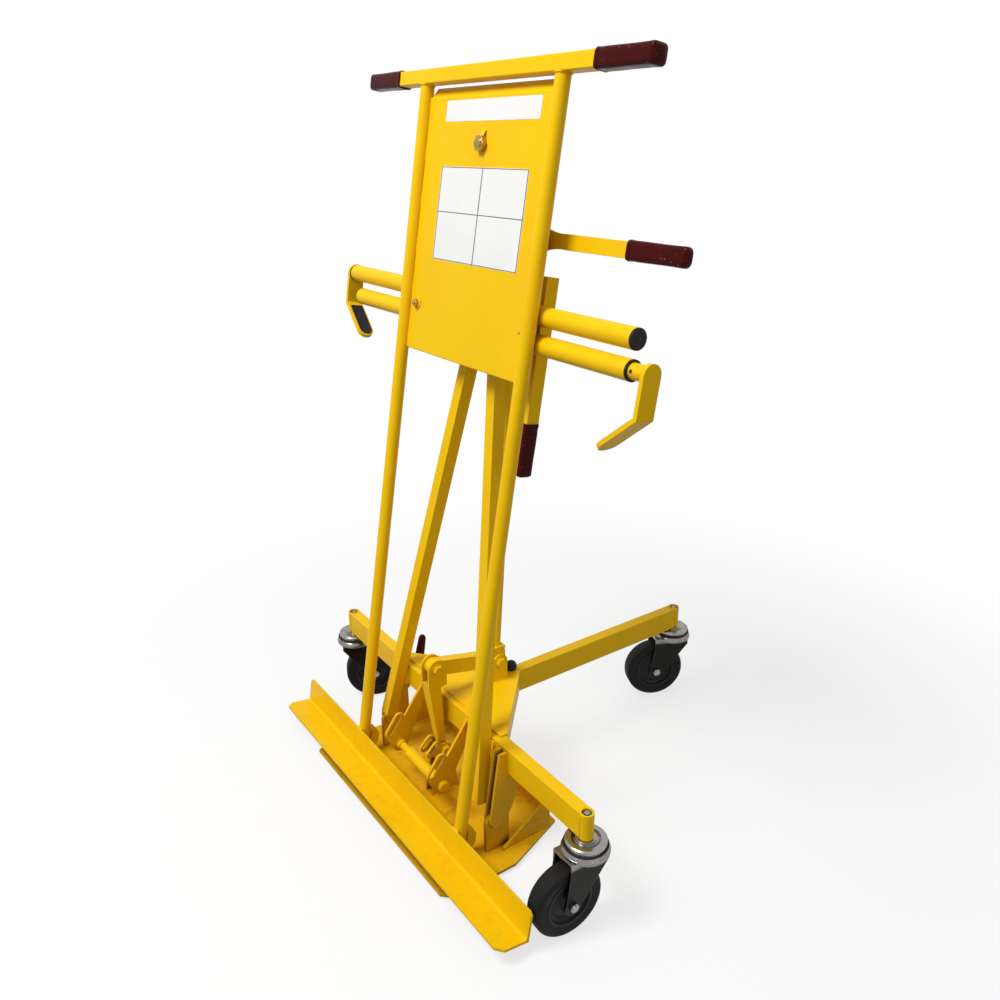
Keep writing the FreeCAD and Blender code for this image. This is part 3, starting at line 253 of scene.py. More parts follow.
def lathe(axes: Axes, centre: Point, axis: str, profile: np.ndarray, sides: int = 48, flats: int = 0,
          ring: bool = False) -> Patch:
    """Turn a profile about an axis, round or with flats.

    A point is the centre plus height along the axis plus radius times the direction at its angle. With flats
    the radius is divided by the cosine of the angle from the middle of the nearest flat.

    Args:
        axes: Axes the place is given in.
        centre: Across, depth and up of the profile's zero.
        axis: One of x, n, s: the axis that is turned about.
        profile: Rows of radius and height.
        sides: Points round the turn.
        flats: Number of flats, 0 for round.
        ring: True where the profile itself is a closed outline.

    Returns:
        The closed surface.
    """
    angle = angles(sides)
    grow = np.ones(sides)
    if flats:
        wedge = TURN / flats
        grow = 1.0 / np.cos(np.mod(angle, wedge) - wedge / 2)
    radius = profile[:, :1] * grow
    a, b = radius * np.cos(angle), radius * np.sin(angle)
    h = np.broadcast_to(profile[:, 1:], radius.shape)
    return tube_patch(axes.about(centre, axis, a, b, h), ring)


def loft(centre: np.ndarray, side: np.ndarray, rise: np.ndarray, half_side: np.ndarray, half_rise: np.ndarray,
         power: float, count: int = 40) -> Patch:
    """Carry a rounded rectangle along a centre line.

    The outline is a superellipse: half width times the signed power of the cosine, half height times that of
    the sine, with the exponent two over the given power.

    Args:
        centre: Points of the centre line.
        side: Direction of the width.
        rise: Direction of the height.
        half_side: Half width at each point.
        half_rise: Half height at each point.
        power: 2 for an ellipse, more for squarer corners.
        count: Points round the outline.

    Returns:
        The closed surface.
    """
    angle = angles(count)
    cosine, sine = np.cos(angle), np.sin(angle)
    wide = np.sign(cosine) * np.abs(cosine) ** (2.0 / power)
    tall = np.sign(sine) * np.abs(sine) ** (2.0 / power)
    grid = (centre[:, None] + (half_side[:, None] * wide)[..., None] * side
            + (half_rise[:, None] * tall)[..., None] * rise)
    return tube_patch(grid)


def bead(corners: np.ndarray, radius: float, pitch: float = 3.2 * MM) -> Patch:
    """Lay a weld bead along a line.

    A circle runs along the line; its radius swells by a twelfth with the sine of the distance over the pitch
    and falls off towards both ends as a root of the distance from them.

    Args:
        corners: Corner points of the line.
        radius: Mean radius of the bead.
        pitch: Distance between ripples.

    Returns:
        The closed surface.
    """
    path = resample(np.asarray(corners, float), pitch / 4)
    where = np.linspace(0.0, 1.0, len(path))
    length = np.linalg.norm(np.diff(path, axis=0), axis=1).sum()
    ripple = 1.0 + np.sin(TURN * where * length / pitch) / 12
    fade = np.clip(np.minimum(where, 1.0 - where) * length / (1.5 * radius), 0.02, 1.0) ** 0.5
    return sweep(path, radius * ripple * fade)


def unwrap(piece: bpy.types.Object, axes: Axes, low: Pair, high: Pair) -> None:
    """Give a flat piece a UV map that runs from 0 to 1 across and up between two corners.

    Args:
        piece: The flat piece.
        axes: Axes it lies in.
        low: Across and up of the corner at 0, 0.
        high: Across and up of the corner at 1, 1.
    """
    mesh = piece.data
    corner = np.empty(len(mesh.loops), np.int32)
    mesh.loops.foreach_get("vertex_index", corner)
    local = (mesh_points(piece)[corner] - axes.origin) @ np.stack([axes.across, axes.up], axis=1)
    place = (local - np.asarray(low)) / (np.asarray(high) - np.asarray(low))
    mesh.uv_layers.new(name="sheet").data.foreach_set("uv", place.ravel())


def hoop(axes: Axes, centre: Point, axis: str, radius: float, start: float = 0.0, stop: float = 1.0,
         count: int = 97) -> np.ndarray:
    """Trace an arc about one axis from one part of a turn to another.

    Args:
        axes: Axes the place is given in.
        centre: Across, depth and up of the middle.
        axis: One of x, n, s: the axis that the arc goes round.
        radius: Radius of the arc.
        start: First part of a turn.
        stop: Last part of a turn.
        count: Number of points.

    Returns:
        Points of the arc.
    """
    angle = np.linspace(start, stop, count) * TURN
    a, b = radius * np.cos(angle), radius * np.sin(angle)
    return axes.about(centre, axis, a, b, np.zeros_like(angle))


# Shader maths


@dataclass(frozen=True)
class Value:
    """A number socket in a material that takes part in arithmetic; each operation adds one Math node."""

    graph: "Graph"
    socket: bpy.types.NodeSocket

    def math(self, operation: str, first: Operand, second: Operand) -> "Value":
        """Return the result of a new Math node with two numbers."""
        return self.graph.value("Math", {0: first, 1: second}, operation=operation)

    def __add__(self, other: Operand) -> "Value":
        """Add another number."""
        return self.math("ADD", self, other)

    __radd__ = __add__

    def __sub__(self, other: Operand) -> "Value":
        """Take another number away."""
        return self.math("SUBTRACT", self, other)

    def __rsub__(self, other: Operand) -> "Value":
        """Take this away from another number."""
        return self.math("SUBTRACT", other, self)

    def __mul__(self, other: Operand) -> "Value":
        """Multiply by another number."""
        return self.math("MULTIPLY", self, other)

    __rmul__ = __mul__

    def away(self, middle: float) -> "Value":
        """Return how far this is from a middle, up or down."""
        return self.math("ABSOLUTE", self - middle, 0.0)

    def most(self, other: Operand) -> "Value":
        """Return the larger of two numbers."""
        return self.math("MAXIMUM", self, other)

    def step(self, low: float, high: float) -> "Value":
        """Rise smoothly from 0 at low to 1 at high."""
        sockets = {"Value": self, "From Min": low, "From Max": high}
        return self.graph.value("MapRange", sockets, interpolation_type="SMOOTHSTEP")


class Graph:
    """The node graph of one material or world."""

    def __init__(self, owner: bpy.types.Material | bpy.types.World) -> None:
        """Start with the owner's nodes cleared."""
        owner.use_nodes = True
        self.owner = owner
        self.tree = owner.node_tree
        self.tree.nodes.clear()

    @classmethod
    def named(cls, name: str) -> "Graph":
        """Return the empty graph of a new material."""
        return cls(bpy.data.materials.new(name))

    def add(self, kind: str, sockets: Sockets | None = None, **settings: object) -> bpy.types.Node:
        """Add a node.

        Args:
            kind: The node's type, without the ShaderNode that all begin with.
            sockets: Values or links of its inputs, by name or place.
            settings: Properties to set first, such as a Math node's operation.

        Returns:
            The node.
        """
        made = self.tree.nodes.new(f"ShaderNode{kind}")
        for key, value in settings.items():
            setattr(made, key, value)
        for key, value in (sockets or {}).items():
            source = value.socket if isinstance(value, Value) else value
            if isinstance(source, bpy.types.NodeSocket):
                self.tree.links.new(source, made.inputs[key])
            elif made.inputs[key].type == "RGBA":
                made.inputs[key].default_value = (*source, 1.0)
            else:
                made.inputs[key].default_value = source
        return made

    def value(self, kind: str, sockets: Sockets, output: str | int = 0, **settings: object) -> Value:
        """Add a node, as add does, and return one of its outputs as a number."""
        return Value(self, self.add(kind, sockets, **settings).outputs[output])

    def place(self) -> bpy.types.NodeSocket:
        """Return the position on the piece in its own coordinates."""
        return self.add("TexCoord").outputs["Object"]

    def noise(self, scale: float, detail: float = 3.0, rough: float = 0.55,
              stretch: Point = (1.0, 1.0, 1.0)) -> Value:
        """Return a noise of the position from 0 to 1, with its scale in cells per metre."""
        spot = self.add("VectorMath", {0: self.place(), 1: stretch}, operation="MULTIPLY").outputs[0]
        return self.value("TexNoise", {"Vector": spot, "Scale": scale, "Detail": detail, "Roughness": rough})

    def height(self) -> Value:
        """Return the height above the floor."""
        return self.value("SeparateXYZ", {0: self.place()}, 2)

    def mix(self, share: Operand, first: Colour, second: Colour) -> bpy.types.NodeSocket:
        """Return the mix of two colours at a share of the second."""
        return self.add("Mix", {0: share, 6: first, 7: second}, data_type="RGBA").outputs[2]

    def rounded(self, radius: float) -> tuple[bpy.types.NodeSocket, Value]:
        """Round the look of sharp edges.

        Args:
            radius: Radius of the rounding.

        Returns:
            The rounded normal, and a mask that is 1 on edges and 0 on flats.
        """
        soft = self.add("Bevel", {"Radius": radius}, samples=6).outputs[0]
        hard = self.add("NewGeometry").outputs["Normal"]
        agree = self.value("VectorMath", {0: soft, 1: hard}, "Value", operation="DOT_PRODUCT")
        return soft, (1.0 - agree).step(0.02, 0.25)

    def hollow(self, reach: float) -> Value:
        """Return a mask that is 1 deep in gaps narrower than the reach and 0 in the open."""
        light = self.value("AmbientOcclusion", {"Distance": reach}, "AO", samples=8)
        return 1.0 - light.step(0.08, 0.62)

    def bump(self, height: Value, strength: float, distance: float,
             normal: bpy.types.NodeSocket | None = None) -> bpy.types.NodeSocket:
        """Add relief.

        Args:
            height: Height of the relief from 0 to 1.
            strength: Share of the relief that shows.
            distance: Depth of the relief.
            normal: Normal that the relief stands on.

        Returns:
            The normal with the relief.
        """
        sockets: dict[str | int, object] = {"Strength": strength, "Distance": distance, "Height": height}
        if normal is not None:
            sockets["Normal"] = normal
        return self.add("Bump", sockets).outputs[0]

    def close(self, sockets: Sockets) -> bpy.types.Material:
        """End the graph in a Principled surface.

        Args:
            sockets: Values or links of the surface's inputs.

        Returns:
            The finished material.
        """
        surface = self.add("BsdfPrincipled", sockets)
        self.add("OutputMaterial", {"Surface": surface.outputs[0]})
        return self.owner


# Finishes


@dataclass(frozen=True)
class Enamel:
    """Sprayed yellow enamel: orange peel, thin on edges, painted shade in hollows, darker towards the bottom, and
    soil low down.
    """

    name: str
    colour: Rgb = (0.93, 0.57, 0.003)
    thin: Rgb = (0.80, 0.40, 0.004)
    # Colour of the painted shade in hollows, also laid on darker towards the bottom.
    film: Rgb = (0.30, 0.135, 0.006)
    soil: Rgb = (0.09, 0.045, 0.012)
    soiling: float = 0.12
    soil_top: float = 0.30
    hollow_shade: float = 0.55
    shade_reach: float = 55.0 * MM
    gloss_rough: float = 0.36
    edge_radius: float = 1.3 * MM
    relief: float = 0.25 * MM

    def material(self) -> bpy.types.Material:
        """Return the enamel's material."""
        g = Graph.named(self.name)
        soft, edge = g.rounded(self.edge_radius)
        cloud = g.noise(5.0, 2.0)
        grain = g.noise(70.0, 4.0, 0.6)
        peel = g.noise(900.0, 1.0)
        smear = g.noise(16.0, 5.0, 0.65)
        low = 1.0 - g.height().step(0.0, self.soil_top)
        dirt = (smear * 0.62 + grain * 0.38).step(0.50, 0.66) * low * self.soiling
        scuff = (grain * 0.6 + edge * 0.5).step(0.72, 0.98)
        base = g.mix(cloud.step(0.38, 0.75) * 0.22, self.colour, self.thin)
        base = g.mix(scuff * 0.45, base, self.thin)
        # Painted shade: hollows found by ambient occlusion take the overlay colour, where shade falls.
        base = g.mix(g.hollow(self.shade_reach) * self.hollow_shade, base, self.film)
        # Darker towards the bottom, in the same overlay colour.
        base = g.mix(low * self.soiling * 0.25, base, self.film)
        base = g.mix(dirt, base, self.soil)
        rough = self.gloss_rough + grain.step(0.35, 0.7) * 0.08 + dirt * 0.3
        normal = g.bump(peel, 0.10, self.relief, soft)
        return g.close({"Base Color": base, "Roughness": rough, "Normal": normal, "Coat Weight": 0.02,
                        "Coat Roughness": 0.18, "Specular IOR Level": 0.1})


@dataclass(frozen=True)
class Vinyl:
    """Dipped dark red vinyl: a dull sheen, fine pits and dusty scuffs."""

    name: str = "dipped_vinyl"
    colour: Rgb = (0.052, 0.0016, 0.0014)
    worn: Rgb = (0.072, 0.004, 0.0035)
    speck: Rgb = (0.62, 0.50, 0.48)
    edge_radius: float = 1.5 * MM
    relief: float = 0.8 * MM

    def material(self) -> bpy.types.Material:
        """Return the vinyl's material."""
        g = Graph.named(self.name)
        soft, edge = g.rounded(self.edge_radius)
        waves = g.noise(38.0, 3.0)
        pits = g.noise(420.0, 2.0)
        specks = g.noise(310.0, 1.0).step(0.735, 0.80)
        base = g.mix(waves.step(0.45, 0.8) * 0.55 + edge * 0.2, self.colour, self.worn)
        base = g.mix(specks * 0.6, base, self.speck)
        rough = 0.22 + waves.step(0.3, 0.75) * 0.16 + specks * 0.2
        normal = g.bump(waves * 0.75 + pits * 0.25, 0.22, self.relief, soft)
        return g.close({"Base Color": base, "Roughness": rough, "Normal": normal, "Coat Weight": 0.02,
                        "Coat Roughness": 0.12, "Specular IOR Level": 0.06})


@dataclass(frozen=True)
class Tread:
    """Moulded tyre rubber: near black, dusted brown where it rolls."""

    name: str = "tyre_rubber"
    colour: Rgb = (0.0055, 0.0052, 0.0050)
    dust: Rgb = (0.020, 0.017, 0.014)
    edge_radius: float = 1.5 * MM
    relief: float = 0.3 * MM

    def material(self) -> bpy.types.Material:
        """Return the rubber's material."""
        g = Graph.named(self.name)
        soft, edge = g.rounded(self.edge_radius)
        cloud = g.noise(26.0, 4.0, 0.6)
        grain = g.noise(650.0, 2.0)
        film = cloud.step(0.40, 0.72) * 0.55 + grain.step(0.5, 0.8) * 0.18 + edge * 0.15
        base = g.mix(film, self.colour, self.dust)
        rough = 0.52 + cloud.step(0.3, 0.7) * 0.2
        normal = g.bump(grain, 0.25, self.relief, soft)
        return g.close({"Base Color": base, "Roughness": rough, "Normal": normal, "Specular IOR Level": 0.16})


@dataclass(frozen=True)
class Moulding:
    """Dark moulded plastic or rubber with a fine grain."""

    name: str
    colour: Rgb
    pale: Rgb
    smooth: float = 0.42
    edge_radius: float = 1.0 * MM
    relief: float = 0.25 * MM

    def material(self) -> bpy.types.Material:
        """Return the moulding's material."""
        g = Graph.named(self.name)
        soft, edge = g.rounded(self.edge_radius)
        cloud = g.noise(42.0, 4.0, 0.6)
        grain = g.noise(700.0, 2.0)
        base = g.mix(cloud.step(0.42, 0.78) * 0.5 + edge * 0.4, self.colour, self.pale)
        rough = self.smooth + cloud.step(0.3, 0.7) * 0.16
        normal = g.bump(grain, 0.18, self.relief, soft)
        return g.close({"Base Color": base, "Roughness": rough, "Normal": normal, "Specular IOR Level": 0.18})


@dataclass(frozen=True)
class Plating:
    """Metal plate: fine brushed streaks, duller cloudy spots that also paint patchy dark reflections, and a
    painted dark reflection down the legs of a fork with painted highlights on its edges.
    """

    name: str
    colour: Rgb
    dull_and_reflection: Rgb
    # Dark colour of the painted reflection down a fork's legs, below the given height.
    painted_leg_reflection: Rgb = (0.013, 0.0135, 0.011)
    reflection_top: float = 0.0
    reflection_fade: float = 0.010
    edge_radius: float = 1.6 * MM
    relief: float = 0.3 * MM

    def material(self) -> bpy.types.Material:
        """Return the plating's material."""
        g = Graph.named(self.name)
        soft, edge = g.rounded(self.edge_radius)
        spots = g.noise(60.0, 5.0, 0.62)
        streak = g.noise(260.0, 2.0, 0.5, (1.0, 1.0, 0.08))
        # Duller cloudy spots, which also paint patchy dark reflections.
        base = g.mix(spots.step(0.45, 0.75) * 0.55, self.colour, self.dull_and_reflection)
        rough = 0.17 + spots.step(0.35, 0.75) * 0.16 + streak.step(0.4, 0.7) * 0.05
        # Painted reflection: below the given height a fork's legs turn dark like a dark reflection, with edges
        # kept lighter as a painted highlight.
        if self.reflection_top:
            dark_reflection = (1.0 - g.height().step(self.reflection_top - self.reflection_fade, self.reflection_top)) * (1.0 - edge * 0.5)
            base = g.mix(dark_reflection * 0.985, base, self.painted_leg_reflection)
            rough = rough + dark_reflection * 0.10
        normal = g.bump(streak * 0.6 + spots * 0.4, 0.06, self.relief, soft)
        return g.close({"Base Color": base, "Metallic": 1.0, "Roughness": rough, "Normal": normal})


@dataclass(frozen=True)
class Sheet:
    """Bare white self-adhesive sheet, with thin rules that part it into fields."""

    name: str
    paper: Rgb = (0.86, 0.86, 0.85)
    aged: Rgb = (0.78, 0.775, 0.74)
    ink: Rgb = (0.02, 0.02, 0.022)
    rule: float = 0.0
    across: float = 0.5
    along: float = 0.5
    relief: float = 0.2 * MM

    def material(self) -> bpy.types.Material:
        """Return the sheet's material."""
        g = Graph.named(self.name)
        parts = g.add("SeparateXYZ", {0: g.add("TexCoord").outputs["UV"]})
        u, v = Value(g, parts.outputs[0]), Value(g, parts.outputs[1])
        cloud = g.noise(14.0, 4.0)
        base = g.mix(cloud.step(0.4, 0.8) * 0.5, self.paper, self.aged)
        if self.rule:
            lines = [self.line(u, self.across), self.line(v, self.along), self.border(u), self.border(v)]
            ruled = lines[0].most(lines[1]).most(lines[2]).most(lines[3])
            base = g.mix(ruled * 0.9, base, self.ink)
        rough = 0.34 + cloud.step(0.3, 0.7) * 0.12
        normal = g.bump(g.noise(220.0, 2.0), 0.05, self.relief)
        return g.close({"Base Color": base, "Roughness": rough, "Normal": normal, "Coat Weight": 0.2})

    def line(self, value: Value, middle: float) -> Value:
        """Return 1 within a rule's half width of a middle line and 0 elsewhere."""
        return 1.0 - value.away(middle).step(self.rule * 0.5, self.rule * 0.8)

    def border(self, value: Value) -> Value:
        """Return 1 on a rule just inside both borders and 0 elsewhere."""
        return 1.0 - value.away(0.5).away(0.5 - self.rule).step(self.rule * 0.4, self.rule * 0.7)


class Coat(Enum):
    """The finishes that the dolly's pieces take."""

    YELLOW = Enamel("yellow_enamel")
    # Darker enamel for the low pieces: more soil, and a darker, wider painted shade in hollows.
    SOILED_SHADED = Enamel("soiled_enamel", colour=(0.86, 0.47, 0.006), film=(0.13, 0.052, 0.004), soiling=0.36,
                    soil_top=0.24, hollow_shade=0.95, shade_reach=85.0 * MM)
    VINYL = Vinyl()
    TYRE = Tread()
    CORE = Moulding("wheel_moulding", colour=(0.012, 0.012, 0.0125), pale=(0.036, 0.035, 0.034))
    RUBBER = Moulding("black_rubber", colour=(0.012, 0.012, 0.012), pale=(0.045, 0.043, 0.04), smooth=0.5)
    NYLON = Moulding("black_nylon", colour=(0.018, 0.018, 0.018), pale=(0.06, 0.06, 0.06))
    # Zinc and fork plate colours are set dark, a painted dark reflection of the surroundings.
    ZINC = Plating("zinc_plate", colour=(0.32, 0.315, 0.30), dull_and_reflection=(0.14, 0.135, 0.12))
    BOLT = Plating("bolt_plate", colour=(0.46, 0.31, 0.10), dull_and_reflection=(0.19, 0.11, 0.04))
    FORK = Plating("fork_plate", colour=(0.24, 0.235, 0.215), dull_and_reflection=(0.10, 0.095, 0.08), reflection_top=0.156)
    BARE_SHEET = Sheet("bare_sheet")
    RULED_SHEET = Sheet("ruled_sheet", rule=0.008, along=0.52)


@dataclass
class Finishes:
    """Makes each finish once and hands it to pieces."""

    made: dict[Coat, bpy.types.Material] = field(default_factory=dict)

    def put(self, piece: bpy.types.Object, coat: Coat) -> None:
        """Give every face of a piece one finish, whose material is made on first use."""
        if coat not in self.made:
            self.made[coat] = coat.value.material()
        piece.data.materials.clear()
        piece.data.materials.append(self.made[coat])

    def coat(self, coat: Coat, *nodes: str) -> None:
        """Give solids of the frame one finish.

        Args:
            coat: The finish.
            nodes: Names of the solids.
        """
        for node in nodes:
            self.put(frame["nodes"][node], coat)
            LOG.info("%s: %s", node, coat.value.name)

    def make(self, name: str, patches: Iterable[Patch], coat: Coat, body: str,
             smooth_deg: float = 35.0) -> bpy.types.Object:
        """Build a new piece, finish it and make it ride.

        Args:
            name: Name of the piece.
            patches: Surfaces that belong to it.
            coat: Its finish.
            body: The body it moves with.
            smooth_deg: Edges sharper than this stay sharp.

        Returns:
            The piece.
        """
        piece = build(name, patches, smooth_deg)
        self.put(piece, coat)
        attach(piece, body)
        LOG.info("%s on %s: %d faces", piece.name, body, len(piece.data.polygons))
        return piece


@dataclass
class Welds:
    """Weld beads, gathered for each body that carries them."""

    beads: dict[str, list[Patch]] = field(default_factory=dict)

    def lay(self, body: str, corners: np.ndarray, radius: float) -> None:
        """Lay one bead of a mean radius along a line, on the body that carries it."""
        self.beads.setdefault(body, []).append(bead(corners, radius))

    def build(self, finishes: Finishes) -> None:
        """Make one painted piece of the beads on each body."""
        for body, patches in self.beads.items():
            finishes.make(f"welds_{body}", patches, Coat.YELLOW, body, smooth_deg=60.0)


# Sub-assemblies


@dataclass
class Grip:
    """Dipped vinyl sleeve: rolled hem at the open end, a faint swell and a domed tip."""

    name: str
    body: str
    node: str
    hem: float = 0.9 * MM
    hem_reach: float = 2.2 * MM
    dome: float = 9.0 * MM
    power: float = 4.6
    rows: int = 72
    dome_rows: int = 12
    swell: float = 0.25 * MM
    swell_pitch: float = 17.0 * MM

    def sleeve(self, start: np.ndarray, stop: np.ndarray, side: np.ndarray, rise: np.ndarray,
               half: Pair, end_half: Pair | None = None) -> Patch:
        """Work out one sleeve.

        The half sizes run straight from the open end to the tip, grow at the hem by a bell curve and shrink
        over the dome nearly as a quarter ellipse; a slow sine keeps the flanks from looking ruled.

        Args:
            start: Middle of the open end.
            stop: Middle of the tip.
            side: Direction of the width.
            rise: Direction of the height.
            half: Half width and half height at the open end.
            end_half: The same near the tip, where they differ.

        Returns:
            The closed surface.
        """
        length = float(np.linalg.norm(stop - start))
        part = np.linspace(0.0, 1.0, self.rows) ** 0.9
        part[-self.dome_rows:] = 1.0 - (self.dome / length) * np.linspace(0.999, 0.0, self.dome_rows) ** 2
        part = np.sort(part)
        down = part * length
        hem = self.hem * np.exp(-((down - 1.6 * self.hem_reach) / self.hem_reach) ** 2)
        over = np.clip((down - length + self.dome) / self.dome, 0.0, 1.0)
        close = np.sqrt(np.clip(1.0 - over ** 2.4, 2e-4, 1.0))
        wave = self.swell * np.sin(down / self.swell_pitch)
        wide, tall = ((first + (last - first) * part + hem + wave) * close
                      for first, last in zip(half, end_half or half))
        return loft(start + part[:, None] * (stop - start), side, rise, wide, tall, self.power, count=56)

    def straight(self, axis: str, start: float, stop: float) -> Patch:
        """Work out a sleeve along one of the mast's axes, as thick as its solid.

        Args:
            axis: One of x, n, s: the axis that it runs along.
            start: Place of the open end on that axis.
            stop: Place of the tip on that axis.

        Returns:
            The closed surface.
        """
        middle, half = MAST.box(self.node)
        along = "xns".index(axis)
        side, rise = (other for other in range(3) if other != along)
        ends = np.stack([middle, middle])
        ends[:, along] = start, stop
        ways = (MAST.across, MAST.depth, MAST.up)
        return self.sleeve(*MAST.at(*ends.T), ways[side], ways[rise], (half[side], half[rise]))

    def fit(self, finishes: Finishes, patches: Sequence[Patch]) -> None:
        """Finish the sleeve in place of its solid."""
        piece = finishes.make(self.name, patches, Coat.VINYL, self.body, smooth_deg=50.0)
        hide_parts(self.node)


@dataclass
class Wheelbase:
    """T-frame of rectangular tube that stands on three swivel casters."""

    seam: float = 2.2 * MM
    inset: float = 2.0 * MM
    stitch: float = 34.0 * MM
    stitch_seam: float = 2.4 * MM
    stitches: int = 5
    tip_share: float = 0.9
    # Dark ring that paints the shade in the gap of each swivel head's race.
    shade_ring: float = 2.2 * MM
    shade_ring_spread: float = 1.1
    shade_ring_radius: float = 38.6 * MM
    shade_ring_rise: float = -1.2 * MM
    sides: tuple[str, ...] = ("left", "right", "rear")

    def dress(self, finishes: Finishes) -> None:
        """Finish the frame's and the casters' solids."""
        finishes.coat(Coat.YELLOW, "crossbar", "rear_leg", "top_gusset", "caster_sockets")
        finishes.coat(Coat.ZINC, "caster_stems")
        kinds = {"axle": Coat.ZINC, "fork": Coat.FORK, "core": Coat.CORE, "tyre": Coat.TYRE}
        for kind, coat in kinds.items():
            finishes.coat(coat, *(f"caster_{side}_{kind}" for side in self.sides))

    def build(self, finishes: Finishes, welds: Welds) -> None:
        """Lay the frame's welds and put a dark ring in the gap of each swivel head."""
        low, high = FLOOR.span("crossbar")
        leg_low, leg_high = FLOOR.span("rear_leg")
        plate_low, plate_high = FLOOR.span("top_gusset")
        rise = (low[2] + self.inset, high[2] - self.inset)
        for first, last in ((low, high), (leg_low, leg_high)):
            for x in (first[0], last[0]):
                for y in (first[1], last[1]):
                    welds.lay("chassis", FLOOR.at(x, y, rise), self.seam)
        reach = plate_high[0] - self.stitch
        for x in np.linspace(-reach, reach, self.stitches):
            line = (x - self.stitch / 2, x + self.stitch / 2)
            welds.lay("chassis", FLOOR.at(line, plate_low[1], high[2]), self.stitch_seam)
        tip = self.tip_share * np.array([leg_low[0], leg_high[0]])
        welds.lay("chassis", FLOOR.at(tip, plate_high[1], leg_high[2]), self.seam)
        for side in self.sides:
            self.race_gap_shade(side, finishes)

    def race_gap_shade(self, side: str, finishes: Finishes) -> None:
        """Make the dark ring in the gap of a swivel head's ball race, a dark piece that paints the gap's shade.

        An upright ellipse is turned about the swivel's axis: the radius takes the cosine of the angle round
        the ellipse, the height its sine.

        Args:
            side: Which caster.
            finishes: Where its finish comes from.
        """
        x, y, _ = joint(f"swivel_{side}")["pos_m"]
        top = FLOOR.span(f"caster_{side}_fork")[1][2]
        turn = angles(12)
        radius = self.shade_ring_radius + self.shade_ring * self.shade_ring_spread * np.cos(turn)
        profile = np.stack([radius, self.shade_ring_rise + self.shade_ring * np.sin(turn)], axis=1)
        ring = lathe(FLOOR, (x, y, top), "s", profile, sides=72, ring=True)
        finishes.make(f"race_gap_shade_{side}", [ring], Coat.RUBBER, f"fork_{side}")


@dataclass
class Tripod:
    """Two braces, apex plates and rear strut that hold the mast."""

    seam: float = 2.0 * MM
    clip_width: float = 32.0 * MM
    yoke_back: float = 1.0 * MM
    yoke_rise: float = 34.0 * MM
    yoke_radius: float = 11.6 * MM
    pad_half: float = 26.0 * MM

    def dress(self, finishes: Finishes) -> None:
        """Finish the tripod's solids."""
        finishes.coat(Coat.YELLOW, "braces", "brace_clips", "apex_plates", "strut", "rear_lug", "frame_bolts")
        finishes.coat(Coat.RUBBER, "rubber_bumper")

    def build(self, finishes: Finishes, welds: Welds) -> None:
        """Lay the tripod's welds."""
        low, high = FLOOR.span("brace_clips")
        front = FLOOR.span("crossbar")[0][1]
        rise = (low[2] + self.seam, high[2] - self.seam)
        for x in (low[0], low[0] + self.clip_width, high[0] - self.clip_width, high[0]):
            welds.lay("chassis", FLOOR.at(x, front, rise), self.seam)
        low, high = FLOOR.span("rear_lug")
        for x in (low[0], high[0]):
            welds.lay("chassis", FLOOR.at(x, (low[1], high[1]), low[2]), self.seam)
        _, y, z = joint("link_bar_turn")["pos_m"]
        ring = hoop(FLOOR, (0.0, y + self.yoke_back, z + self.yoke_rise), "s", self.yoke_radius)
        welds.lay("chassis", ring, self.seam)
        back = MAST.span("braces")[1][1]
        foot = MAST.span("apex_plates")[0][2]
        welds.lay("chassis", MAST.at((-self.pad_half, self.pad_half), back, foot), self.seam)


